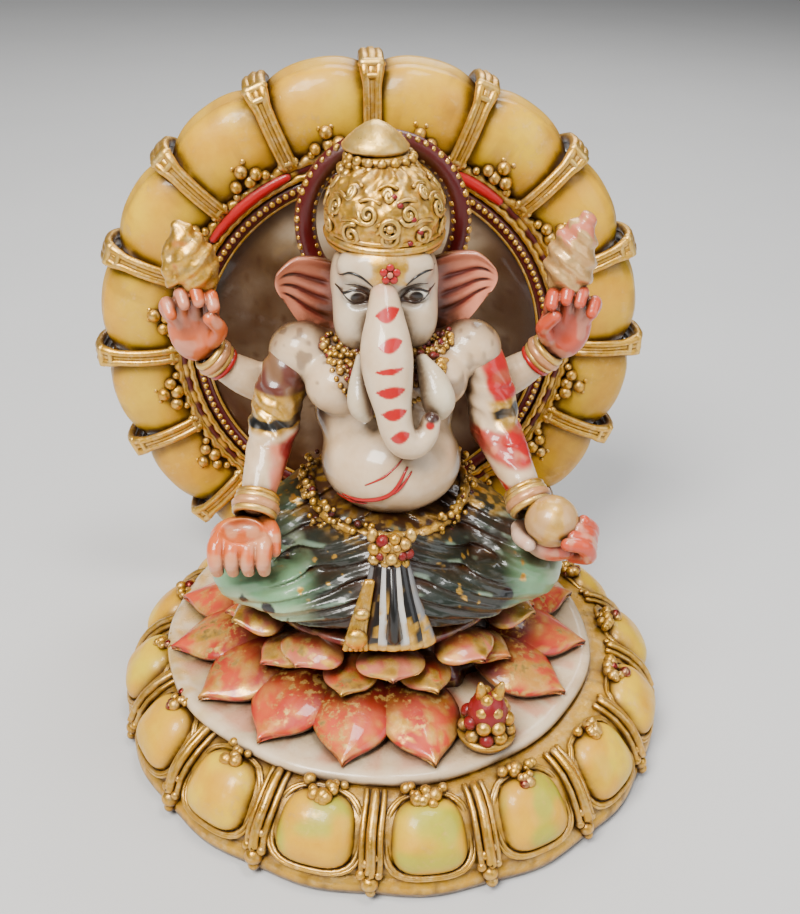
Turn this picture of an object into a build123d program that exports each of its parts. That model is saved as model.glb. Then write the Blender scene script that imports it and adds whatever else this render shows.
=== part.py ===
"""A seated elephant-headed figure on a lotus, with a round lobed backrest and a round lobed base.

Millimetres. The origin is on the figure's own axis at table level, +Z is up and the figure faces -Y.
Right and left are the figure's own: its right hand is on the -X side.
Every casting is a separate solid, cut to the faces of the ones it is seated on.
"""

import os
from math import cos, radians, sin

from build123d import *

# Driving dimensions
LOBES = 16  # lobes round both the base and the backrest
PITCH = 360 / LOBES
BASE_R = 45.0
BASE_X = 2.4  # the base sits this far to the figure's left of its axis
BASE_PHASE = -7.6  # turn of the base's ribs away from the front, in degrees
DOME_TOP = 12.6
FELT_R, FELT_H = 41.0, 1.0
PLATE_R, PLATE_H = 35.2, 2.0
PLATE_TOP = DOME_TOP + PLATE_H
SEAT_TOP = 26.5
BACK_Y = 33.2  # front of the backrest's core
BACK_Z = 50.0  # height of the backrest's centre
BACK_R = 48.0  # to the ends of its ribs
DISH_R = 34.0
RIM_FACE = -2.0  # the flat rim of the dish, behind BACK_Y
TENON = (24.0, 5.0, 7.0)

BASE_AXIS = Location((BASE_X, 0, 0))
BACK_PLANE = Plane(origin=(0, BACK_Y, BACK_Z), x_dir=(1, 0, 0), z_dir=(0, -1, 0))
pieces = {}


def keep(name, built):
    """Labels a finished piece and remembers it for export."""
    built.part.label = name
    pieces[name] = built.part


def limb(*stations):
    """Adds a tapering limb through stations of (x, y, z, radius) to the part being built."""
    for x, y, z, radius in stations:
        with Locations((x, y, z)):
            Sphere(radius)
    for start, end in zip(stations, stations[1:]):
        along = Vector(*end[:3]) - Vector(*start[:3])
        with Locations(Plane(origin=start[:3], z_dir=along)):
            if abs(start[3] - end[3]) < 0.01:
                Cylinder(start[3], along.length, align=(Align.CENTER, Align.CENTER, Align.MIN))
            else:
                Cone(start[3], end[3], along.length, align=(Align.CENTER, Align.CENTER, Align.MIN))


def ellipsoid(centre, radii):
    """Adds an ellipsoid to the part being built."""
    ball = scale(Sphere(1, mode=Mode.PRIVATE), by=radii, mode=Mode.PRIVATE)
    add(Pos(*centre) * ball)


def cut_by(*others):
    """Cuts finished neighbours out of the part being built, so that it is seated on them."""
    for other in others:
        add(pieces[other], mode=Mode.SUBTRACT)


def ring_of(name, single, count=LOBES, start=BASE_PHASE):
    """Repeats one piece, made at the front of the base, round the base's axis."""
    with BuildPart() as ring:
        with Locations(BASE_AXIS):
            with PolarLocations(0, count, start_angle=start):
                add(single.part)
    keep(name, ring)


# Base: a domed plinth with a recess for a felt pad and a slot for the backrest's tenon
with BuildPart() as plinth:
    with BuildSketch(Plane.XZ):
        with BuildLine():
            Polyline((0, 0), (BASE_R - 1, 0), (BASE_R, 1.2), (BASE_R, 3.4), (BASE_R - 1, 4.8))
            ThreePointArc((BASE_R - 1, 4.8), (41.6, 9.6), (36.0, DOME_TOP))
            Polyline((36.0, DOME_TOP), (0, DOME_TOP), (0, 0))
        make_face()
    revolve(axis=Axis.Z)
    Cylinder(FELT_R, FELT_H, align=(Align.CENTER, Align.CENTER, Align.MIN), mode=Mode.SUBTRACT)
plinth_local = plinth.part
with BuildPart() as base_plinth:
    with Locations(BASE_AXIS):
        add(plinth_local)
    with Locations((0, BACK_Y + 4.5, DOME_TOP)):
        Box(*TENON[:2], 2 * TENON[2], mode=Mode.SUBTRACT)
    with Locations((0, BACK_Y + 10, DOME_TOP)):
        Box(80, 20, 5.2, mode=Mode.SUBTRACT)
keep("base_plinth", base_plinth)

with BuildPart() as felt_pad:
    with Locations((BASE_X, 0, 0)):
        Cylinder(FELT_R - 0.1, FELT_H, align=(Align.CENTER, Align.CENTER, Align.MIN))
keep("felt_pad", felt_pad)

# The face of one panel on the dome, half a pitch round from a rib, where a cushion and its frame stand
PANEL = Plane(origin=(0, -41.5, 7.9), x_dir=(1, 0, 0), z_dir=(0, -0.78, 0.62))

with BuildPart() as cushion:
    with BuildSketch(PANEL.offset(-2)):
        RectangleRounded(10.4, 8.4, 3.0)
    extrude(amount=4.4)
    add(plinth_local, mode=Mode.SUBTRACT)
ring_of("base_cushions", cushion, start=BASE_PHASE + PITCH / 2)

with BuildPart() as frame:
    with BuildSketch(PANEL.offset(-2)):
        RectangleRounded(12.8, 10.6, 3.8)
        RectangleRounded(10.8, 8.8, 3.1, mode=Mode.SUBTRACT)
    extrude(amount=3.2)
    add(plinth_local, mode=Mode.SUBTRACT)
ring_of("base_frames", frame, start=BASE_PHASE + PITCH / 2)

with BuildPart() as rib:
    with BuildLine(Plane.YZ):
        rib_path = ThreePointArc((-45.2, 3.4), (-42.0, 9.9), (-36.2, 12.9))
    with BuildSketch(Plane(origin=rib_path @ 0, z_dir=rib_path % 0)):
        Circle(1.25)
    sweep()
    add(plinth_local, mode=Mode.SUBTRACT)
ring_of("base_ribs", rib)

with BuildPart() as knob:
    with Locations((0, -45.0, 3.0)):
        Sphere(1.6)
    add(plinth_local, mode=Mode.SUBTRACT)
    add(rib.part, mode=Mode.SUBTRACT)
ring_of("base_knobs", knob)

with BuildPart() as flower:
    for across, out, high in ((-1.5, -36.9, 12.7), (1.5, -36.9, 12.7), (0, -38.0, 12.5)):
        with Locations((across, out, high)):
            Sphere(1.15)
    add(plinth_local, mode=Mode.SUBTRACT)
    add(frame.part, mode=Mode.SUBTRACT)
ring_of("base_flowers", flower, start=BASE_PHASE + PITCH / 2)

# Lotus: a plate, a dark core, three rows of petals and the seat
with BuildPart() as lotus_plate:
    with Locations((0, 0, DOME_TOP)):
        Cylinder(PLATE_R, PLATE_H, align=(Align.CENTER, Align.CENTER, Align.MIN))
    fillet(lotus_plate.edges().filter_by(GeomType.CIRCLE), 0.7)
    with Locations((0, BACK_Y + 10, DOME_TOP)):
        Box(80, 20, 10, mode=Mode.SUBTRACT)
keep("lotus_plate", lotus_plate)

with BuildPart() as lotus_core:
    with BuildSketch(Plane.XZ):
        with BuildLine():
            Polyline((0, PLATE_TOP), (17.5, PLATE_TOP), (14.5, 18.5), (14.5, 21.0), (17.0, 23.8))
            Polyline((17.0, 23.8), (0, 23.8), (0, PLATE_TOP))
        make_face()
    revolve(axis=Axis.Z)
keep("lotus_core", lotus_core)

with BuildPart() as lotus_seat:
    with Locations((0, 0, 23.8)):
        Cone(17.0, 20.0, SEAT_TOP - 23.8, align=(Align.CENTER, Align.CENTER, Align.MIN))
keep("lotus_seat", lotus_seat)


def petal_row(name, root, tip, width, root_z, tilt, thick, turns, *seats):
    """A row of pointed petals round the lotus, from radius root to radius tip, tilted down by tilt degrees."""
    length = tip - root
    leaf = Plane(origin=(0, -root, root_z), x_dir=(1, 0, 0), z_dir=(0, -sin(radians(tilt)), cos(radians(tilt))))
    with BuildPart() as petal:
        with BuildSketch(leaf):
            with BuildLine():
                ThreePointArc((-0.28 * width, 0), (-0.5 * width, -0.55 * length), (0, -length))
                ThreePointArc((0, -length), (0.5 * width, -0.55 * length), (0.28 * width, 0))
                Line((0.28 * width, 0), (-0.28 * width, 0))
            make_face()
        extrude(amount=thick)
    with BuildPart() as row:
        for turn in turns:
            add(petal.part.rotate(Axis.Z, turn))
        cut_by(*seats)
    keep(name, row)


# One place in the lower row is left out for the offering
LOWER_TURNS = [-12 + PITCH * n for n in range(LOBES) if n != 2]
MIDDLE_TURNS = [-16 + 360 / 11 * n for n in range(11)]
UPPER_TURNS = [360 / 11 * n for n in range(11)]
petal_row("lower_petals", 17.6, 34.0, 8.8, 18.4, 13.0, 1.8, LOWER_TURNS, "lotus_plate", "lotus_core")
petal_row("middle_petals", 14.6, 25.5, 7.0, 19.6, 4.0, 1.3, MIDDLE_TURNS, "lotus_core", "lower_petals")
petal_row("upper_petals", 17.2, 27.0, 9.4, 24.2, -2.0, 1.6, UPPER_TURNS, "lotus_seat", "lotus_core")

# Offering: a heap of round sweets at the front left of the plate
OFFERING = (14.4, -27.6)
with BuildPart() as offering_dish:
    with Locations((*OFFERING, PLATE_TOP)):
        Cone(3.0, 4.3, 2.0, align=(Align.CENTER, Align.CENTER, Align.MIN))
    cut_by("lower_petals", "middle_petals")
keep("offering_dish", offering_dish)

with BuildPart() as offering_sweets:
    with Locations((*OFFERING, PLATE_TOP + 3.6)):
        with PolarLocations(2.5, 6):
            Sphere(1.6)
    with Locations((*OFFERING, PLATE_TOP + 5.6)):
        with PolarLocations(1.4, 4):
            Sphere(1.5)
        Cone(1.9, 0.4, 5.0, align=(Align.CENTER, Align.CENTER, Align.MIN))
    cut_by("offering_dish", "lower_petals", "middle_petals", "upper_petals")
keep("offering_sweets", offering_sweets)

# Body: crossed legs in a wrapped cloth, and a round belly under a broad chest
with BuildPart() as crossed_legs:
    ellipsoid((0, 4, 36), (15.5, 10.5, 9.8))
    limb((-10, 2, 35, 7.2), (-21.0, -6.5, 32.2, 5.6), (-6, -14.5, 31.6, 4.8), (0, -15.0, 31.0, 4.4))
    limb((10, 2, 35, 7.2), (21.5, -6.5, 32.6, 5.6), (7, -14.5, 32.6, 4.8), (0, -15.0, 31.0, 4.4))
    cut_by("lotus_seat", "upper_petals")
    with Locations((0, 0, SEAT_TOP)):
        Box(80, 80, 10, align=(Align.CENTER, Align.CENTER, Align.MAX), mode=Mode.SUBTRACT)
keep("crossed_legs", crossed_legs)

with BuildPart() as torso:
    ellipsoid((0.8, -3.2, 49.2), (10.2, 9.6, 8.8))
    ellipsoid((0.0, 3.0, 59.6), (11.6, 7.6, 8.6))
    cut_by("crossed_legs")
keep("torso", torso)

with BuildPart() as pleats:
    with BuildSketch(Plane.XY.offset(39.5)):
        with Locations((0.2, -17.6)):
            RectangleRounded(4.6, 2.2, 0.8)
    with BuildSketch(Plane.XY.offset(28.4)):
        with Locations((0.6, -21.2)):
            RectangleRounded(10.4, 2.8, 0.8)
    loft()
    cut_by("crossed_legs", "upper_petals")
keep("front_pleats", pleats)

with BuildPart() as tassel:
    limb((-3.4, -19.6, 38.0, 0.9), (-4.6, -21.4, 33.6, 1.1), (-5.0, -22.2, 31.0, 1.9))
    cut_by("crossed_legs", "front_pleats", "upper_petals")
keep("sash_tassel", tassel)

with BuildPart() as belt:
    with Locations((0.6, -1.0, 43.4)):
        Torus(11.6, 1.7)
    cut_by("crossed_legs", "torso")
keep("belt", belt)

with BuildPart() as buckle:
    with Locations((0.2, -15.2, 41.8)):
        Sphere(3.0)
    cut_by("torso", "crossed_legs", "belt", "front_pleats", "sash_tassel")
keep("belt_buckle", buckle)

# Head: skull and cheeks, trunk, tusks and ears
with BuildPart() as head:
    ellipsoid((-0.2, 3.6, 73.6), (7.4, 7.4, 8.4))
    ellipsoid((-4.0, 0.4, 68.6), (3.4, 4.0, 4.2))
    ellipsoid((3.9, 0.4, 68.8), (3.4, 4.0, 4.2))
    cut_by("torso")
keep("head", head)

with BuildPart() as trunk:
    limb(
        (-0.8, -3.6, 75.4, 2.2),
        (-0.6, -5.8, 70.4, 3.0),
        (-0.2, -9.4, 66.0, 3.9),
        (0.2, -12.0, 61.8, 3.2),
        (1.0, -13.4, 58.0, 2.7),
        (2.6, -13.6, 55.8, 2.4),
        (5.2, -13.0, 57.4, 1.6),
        (5.8, -12.2, 59.6, 1.1),
    )
    cut_by("head", "torso")
keep("trunk", trunk)

with BuildPart() as right_tusk:
    limb((-3.8, -6.6, 65.0, 1.5), (-3.6, -9.4, 60.6, 1.2), (-2.9, -10.2, 58.2, 0.6))
    cut_by("head", "trunk", "torso")
keep("right_tusk", right_tusk)

with BuildPart() as left_tusk:
    limb((4.6, -6.4, 65.2, 1.7), (6.2, -8.6, 62.0, 2.2), (6.8, -9.2, 60.0, 1.2))
    cut_by("head", "trunk", "torso")
keep("left_tusk", left_tusk)


def ear(name, side, lift):
    """One flat ear: a fan that narrows downwards, leaning a little forward at its outer edge."""
    face = Plane(origin=(side * 6.4, 3.6, 66.5 + lift), x_dir=(side, 0.2, 0), z_dir=(0.2 * side, -1, 0))
    rise = 1 if face.y_dir.Z > 0 else -1
    with BuildPart() as fan:
        with BuildSketch(face):
            with BuildLine():
                Line((0, 0), (2.4, -2.0 * rise))
                ThreePointArc((2.4, -2.0 * rise), (8.0, 3.6 * rise), (9.4, 9.4 * rise))
                ThreePointArc((9.4, 9.4 * rise), (6.6, 12.8 * rise), (0, 12.0 * rise))
                Line((0, 12.0 * rise), (0, 0))
            make_face()
        extrude(amount=1.0, both=True)
        cut_by("head", "torso")
    keep(name, fan)


ear("right_ear", -1, 0.0)
ear("left_ear", 1, 1.0)

# Crown: a brow band, a dome, two tiers, a pointed cap and the beaded arch behind it
with BuildPart() as crown_dome:
    ellipsoid((-0.2, 5.2, 80.6), (8.8, 8.6, 8.2))
    with Locations((0, 5, 77.2)):
        Box(40, 40, 20, align=(Align.CENTER, Align.CENTER, Align.MAX), mode=Mode.SUBTRACT)
    cut_by("head", "right_ear", "left_ear")
keep("crown_dome", crown_dome)

with BuildPart() as crown_band:
    with Locations((-0.2, 5.0, 77.9)):
        Cylinder(9.5, 1.8)
    cut_by("head", "crown_dome", "right_ear", "left_ear")
keep("crown_band", crown_band)

with BuildPart() as crown_tiers:
    for level, radius in ((87.2, 5.6), (88.6, 4.9), (89.9, 4.4)):
        with Locations((-1.0, 7.4, level)):
            Cylinder(radius, 1.3)
    cut_by("crown_dome")
keep("crown_tiers", crown_tiers)

with BuildPart() as crown_cap:
    with Locations((-1.6, 8.4, 90.55)):
        Cone(4.6, 0.7, 4.2, align=(Align.CENTER, Align.CENTER, Align.MIN))
keep("crown_cap", crown_cap)

with BuildPart() as crown_arch:
    with BuildLine(Plane.XZ.offset(-14.5)):
        arch_path = ThreePointArc((-11.5, 75.0), (0, 90.6), (11.5, 75.0))
    with BuildSketch(Plane(origin=arch_path @ 0, z_dir=arch_path % 0)):
        Circle(1.4)
    sweep()
    cut_by("crown_dome", "crown_tiers", "crown_cap", "left_ear", "right_ear")
keep("crown_arch", crown_arch)

with BuildPart() as necklace:
    with Locations(Plane(origin=(0, 1.5, 64.0), z_dir=(0, -0.55, 0.83))):
        Torus(7.6, 1.2)
    cut_by("torso", "head", "trunk", "left_tusk", "right_tusk", "left_ear", "right_ear")
keep("necklace", necklace)

# Arms: two in front resting on the knees, two behind raised beside the head
with BuildPart() as front_right_arm:
    limb((-12.6, 3.0, 63.0, 3.6), (-16.4, -1.0, 53.4, 3.3), (-18.8, -11.0, 45.8, 2.3))
    cut_by("torso", "crossed_legs", "right_ear", "necklace")
keep("front_right_arm", front_right_arm)

with BuildPart() as front_left_arm:
    limb((12.8, 3.0, 63.4, 3.6), (16.2, -1.0, 53.4, 3.3), (20.4, -11.0, 46.4, 2.3))
    cut_by("torso", "crossed_legs", "left_ear", "necklace")
keep("front_left_arm", front_left_arm)

with BuildPart() as rear_right_arm:
    limb((-11.0, 9.0, 61.0, 3.0), (-17.2, 10.5, 53.6, 2.8), (-25.0, 9.0, 59.0, 2.2))
    cut_by("torso", "crossed_legs", "front_right_arm")
keep("rear_right_arm", rear_right_arm)

with BuildPart() as rear_left_arm:
    limb((11.0, 9.0, 61.0, 3.0), (17.2, 10.5, 53.6, 2.8), (24.6, 9.0, 59.6, 2.2))
    cut_by("torso", "crossed_legs", "front_left_arm")
keep("rear_left_arm", rear_left_arm)


def bracelet(name, centre, along, radius, arm):
    """A round bangle at a wrist, square to the forearm."""
    with BuildPart() as bangle:
        with Locations(Plane(origin=centre, z_dir=along)):
            Torus(radius, 0.9)
        cut_by(arm, "crossed_legs")
    keep(name, bangle)


bracelet("front_right_bracelet", (-18.6, -10.4, 46.2), (-2.4, -10, -7.6), 2.9, "front_right_arm")
bracelet("front_left_bracelet", (20.2, -10.4, 46.8), (4.2, -10, -7.0), 2.9, "front_left_arm")
bracelet("rear_right_bracelet", (-24.6, 9.1, 58.7), (-7.8, -1.5, 5.4), 2.7, "rear_right_arm")
bracelet("rear_left_bracelet", (24.2, 9.1, 59.3), (7.4, -1.5, 6.0), 2.7, "rear_left_arm")

with BuildPart() as open_hand:
    ellipsoid((-21.2, -14.6, 42.4), (5.2, 3.0, 3.4))
    cut_by("front_right_arm", "crossed_legs", "front_right_bracelet")
keep("front_right_hand", open_hand)

with BuildPart() as sweet:
    with Locations((23.6, -15.6, 45.0)):
        Sphere(3.9)
    cut_by("front_left_arm", "crossed_legs", "front_left_bracelet")
keep("held_sweet", sweet)

with BuildPart() as holding_hand:
    ellipsoid((25.2, -15.6, 41.6), (5.0, 4.4, 3.8))
    cut_by("held_sweet", "front_left_arm", "crossed_legs", "front_left_bracelet")
keep("front_left_hand", holding_hand)

with BuildPart() as rear_right_hand:
    ellipsoid((-27.7, 8.2, 66.3), (3.3, 2.8, 6.2))
    cut_by("rear_right_arm", "rear_right_bracelet")
keep("rear_right_hand", rear_right_hand)

with BuildPart() as rear_left_hand:
    ellipsoid((27.4, 8.0, 66.8), (3.4, 2.8, 6.2))
    cut_by("rear_left_arm", "rear_left_bracelet")
keep("rear_left_hand", rear_left_hand)

with BuildPart() as axe_head:
    limb((-27.4, 8.0, 73.6, 3.0), (-28.4, 8.2, 76.6, 2.6), (-29.6, 8.6, 79.4, 1.5))
    cut_by("rear_right_hand")
keep("axe_head", axe_head)

with BuildPart() as lotus_bud:
    limb((27.4, 8.0, 74.0, 3.4), (27.8, 8.2, 78.0, 2.6), (28.6, 8.6, 81.4, 1.2))
    cut_by("rear_left_hand")
keep("lotus_bud", lotus_bud)

# Backrest: a dished disc with a tenon, a ring of lobes, ribs between them and the inner rings.
# These are drawn about the ring's own axis, local Z, and set up on BACK_PLANE, whose Z faces the front.
with BuildPart() as dish_local:
    with BuildSketch(Plane.XZ):
        with BuildLine():
            Polyline((0, -8.0), (DISH_R, -8.0), (DISH_R, RIM_FACE), (27.5, RIM_FACE))
            ThreePointArc((27.5, RIM_FACE), (18, -4.2), (6, -5.0))
            Polyline((6, -5.0), (0, -5.0), (0, -8.0))
        make_face()
    revolve(axis=Axis.Z)
with BuildPart() as dish:
    with Locations(BACK_PLANE.location):
        add(dish_local.part)
    with Locations((0, BACK_Y, 10.1)):
        Box(120, 60, 40, align=(Align.CENTER, Align.CENTER, Align.MAX), mode=Mode.SUBTRACT)
    with Locations((0, BACK_Y + 4.5, DOME_TOP)):
        Box(TENON[0] - 0.2, TENON[1] - 0.2, 2 * TENON[2] - 0.4)
    with BuildSketch(Plane.XY.offset(10.1)):
        with Locations((0, BACK_Y + 5.2)):
            Rectangle(58, 5.6)
    extrude(amount=12)
    cut_by("base_plinth", "lotus_plate")
keep("backrest_dish", dish)


def back_ring(name, single, steps, *seats):
    """Repeats one piece, made at the top of the backrest's ring, at multiples of the pitch."""
    with BuildPart() as ring:
        with Locations(BACK_PLANE.location):
            for step in steps:
                add(single.part.rotate(Axis.Z, -step * PITCH))
        with Locations((0, BACK_Y, DOME_TOP + 0.1)):
            Box(120, 60, 40, align=(Align.CENTER, Align.CENTER, Align.MAX), mode=Mode.SUBTRACT)
        cut_by(*seats)
    keep(name, ring)


LOBE_STEPS = [side * (n + 0.5) for n in range(7) for side in (-1, 1)]
RIB_STEPS = range(-6, 7)

with BuildPart() as lobe:
    with BuildSketch(Plane.YZ):
        with Locations((40.3, -4.2)):
            RectangleRounded(11.4, 9.2, 3.4)
    revolve(axis=Axis.Z, revolution_arc=PITCH - 1.6)
lobe_centred = BuildPart()
with lobe_centred:
    add(lobe.part.rotate(Axis.Z, -(PITCH - 1.6) / 2))
back_ring("backrest_lobes", lobe_centred, LOBE_STEPS, "lotus_plate", "backrest_dish")

with BuildPart() as back_rib:
    with Locations((0, 41.0, -3.6)):
        Box(2.4, 13.2, 10.4)
    fillet(back_rib.edges().filter_by(Axis.Y), 0.9)
back_ring("backrest_ribs", back_rib, RIB_STEPS, "backrest_lobes", "backrest_dish", "lotus_plate")

with BuildPart() as back_flower:
    for across, out in ((-1.6, 35.6), (1.6, 35.6), (0, 37.6)):
        with Locations((across, out, 0.4)):
            Sphere(1.3)
back_ring("backrest_flowers", back_flower, LOBE_STEPS[:12], "backrest_lobes", "backrest_dish")


def back_hoop(name, radius, tube, forward, *seats):
    """A hoop round the dish, cut off where it meets the plate."""
    with BuildPart() as hoop:
        with Locations(BACK_PLANE.offset(forward).location):
            Torus(radius, tube)
        with Locations((0, BACK_Y, PLATE_TOP + 0.1)):
            Box(120, 60, 40, align=(Align.CENTER, Align.CENTER, Align.MAX), mode=Mode.SUBTRACT)
        cut_by(*seats)
    keep(name, hoop)


back_hoop("outer_hoop", 33.4, 1.2, -1.0, "backrest_lobes", "backrest_ribs", "backrest_flowers", "backrest_dish")
back_hoop("inner_hoop", 30.9, 0.9, -1.3, "outer_hoop", "backrest_dish")

BEADS = 44
with BuildPart() as hoop_beads:
    with Locations(BACK_PLANE.offset(-1.2).location):
        for n in range(-BEADS // 3, BEADS // 3 + 1):
            turn = radians(n * 360 / BEADS)
            with Locations((28.9 * sin(turn), 28.9 * cos(turn), 0)):
                Sphere(0.95)
    cut_by("backrest_dish", "inner_hoop")
keep("hoop_beads", hoop_beads)

os.makedirs("parts", exist_ok=True)
for old in os.listdir("parts"):
    os.remove(os.path.join("parts", old))
for name, part in pieces.items():
    export_step(part, f"parts/{name}.step")
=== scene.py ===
"""Hand-painted cast idol: a seated elephant-headed figure on a lotus, a round base and a round backrest.

Lengths in this file are millimetres in the CAD's own frame; mesh_piece() turns them into metres.
"""
import math

import bpy
import numpy as np
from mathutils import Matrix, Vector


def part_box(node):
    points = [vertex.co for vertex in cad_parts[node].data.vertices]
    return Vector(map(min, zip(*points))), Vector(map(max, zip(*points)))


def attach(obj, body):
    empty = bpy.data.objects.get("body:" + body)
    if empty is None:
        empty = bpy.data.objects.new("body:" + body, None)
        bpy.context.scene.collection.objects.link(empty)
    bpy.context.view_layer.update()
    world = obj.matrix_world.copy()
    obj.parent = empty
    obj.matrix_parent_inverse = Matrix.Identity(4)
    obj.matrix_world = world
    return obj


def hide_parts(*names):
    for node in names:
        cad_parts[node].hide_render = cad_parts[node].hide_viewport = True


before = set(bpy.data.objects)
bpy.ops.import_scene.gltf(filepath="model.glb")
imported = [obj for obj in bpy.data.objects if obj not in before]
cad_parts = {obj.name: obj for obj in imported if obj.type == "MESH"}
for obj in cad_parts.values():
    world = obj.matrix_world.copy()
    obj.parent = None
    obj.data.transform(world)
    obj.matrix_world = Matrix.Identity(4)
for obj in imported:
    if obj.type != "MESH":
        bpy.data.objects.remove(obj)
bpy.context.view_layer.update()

import openvdb
from mathutils import Matrix, Vector

TAU = 2 * math.pi
RNG = np.random.default_rng(11)

# ---------------------------------------------------------------- colours (linear RGB)
GOLD = (0.80, 0.44, 0.045)
PALE_GOLD = (0.90, 0.56, 0.11)
YELLOW = (0.80, 0.41, 0.002)
LEMON = (0.86, 0.56, 0.004)
LIME = (0.42, 0.46, 0.02)
IVORY = (0.80, 0.59, 0.37)
CREAM = (0.82, 0.64, 0.42)
BONE = (0.40, 0.27, 0.12)
RED = (0.50, 0.006, 0.008)
DARK_RED = (0.085, 0.004, 0.004)
CRIMSON = (0.24, 0.008, 0.010)
CORAL = (0.70, 0.085, 0.030)
ORANGE = (0.76, 0.14, 0.025)
PINK = (0.74, 0.22, 0.13)
SALMON = (0.70, 0.20, 0.11)
JADE = (0.18, 0.38, 0.20)
PALE_JADE = (0.46, 0.58, 0.37)
BLACK = (0.004, 0.0045, 0.004)
GREY = (0.20, 0.21, 0.22)
UMBER = (0.048, 0.014, 0.003)
FACE = (0.78, 0.62, 0.42)
EAR_PINK = (0.86, 0.31, 0.19)
TUSK = (0.76, 0.65, 0.46)

BRIGHT = 0.95  # how golden freshly gilded relief is, from 0 to 1


def node_box(name):
    """A CAD node's lowest and highest corner, in millimetres."""
    low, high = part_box(name)
    return np.array(low) * 1000, np.array(high) * 1000


# ---------------------------------------------------------------- noise and small maths
def lattice(ix, iy, iz):
    """Repeatable random value for each whole-number lattice point."""
    key = (ix * 374761393 + iy * 668265263 + iz * 2147483647) & 0xFFFFFFFF
    key = ((key ^ (key >> 13)) * 1274126177) & 0xFFFFFFFF
    return ((key ^ (key >> 16)) & 0xFFFF) / 65535.0


def noise(points, size, seed=0):
    """Smooth random value from 0 to 1 at each point, with blobs about size across."""
    p = points / size + seed * 17.31
    cell = np.floor(p).astype(np.int64)
    f = p - cell
    f = f * f * (3 - 2 * f)
    total = 0.0
    for cx in (0, 1):
        for cy in (0, 1):
            for cz in (0, 1):
                weight = np.abs(1 - cx - f[:, 0]) * np.abs(1 - cy - f[:, 1]) * np.abs(1 - cz - f[:, 2])
                total = total + weight * lattice(cell[:, 0] + cx, cell[:, 1] + cy, cell[:, 2] + cz)
    return total


def ramp(value, low, high):
    """0 below low, 1 above high and smooth between; low may be above high."""
    t = np.clip((value - low) / (high - low), 0, 1)
    return t * t * (3 - 2 * t)


def blot(verts, size, seed, low, high):
    """A mask of soft-edged blotches about size across; low and high set how much they cover."""
    return ramp(noise(verts, size, seed), low, high)


def spline(stations, per=8):
    """Smooth curve through stations; every column is interpolated, so radii can ride along."""
    s = np.array(stations, float)
    s = np.vstack([2 * s[0] - s[1], s, 2 * s[-1] - s[-2]])
    out = []
    for a, b, c, d in zip(s, s[1:], s[2:], s[3:]):
        for t in np.linspace(0, 1, per, endpoint=False):
            out.append(0.5 * (2 * b + (c - a) * t + (2 * a - 5 * b + 4 * c - d) * t**2
                              + (3 * b - a - 3 * c + d) * t**3))
    out.append(s[-2])
    return np.array(out)


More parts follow.
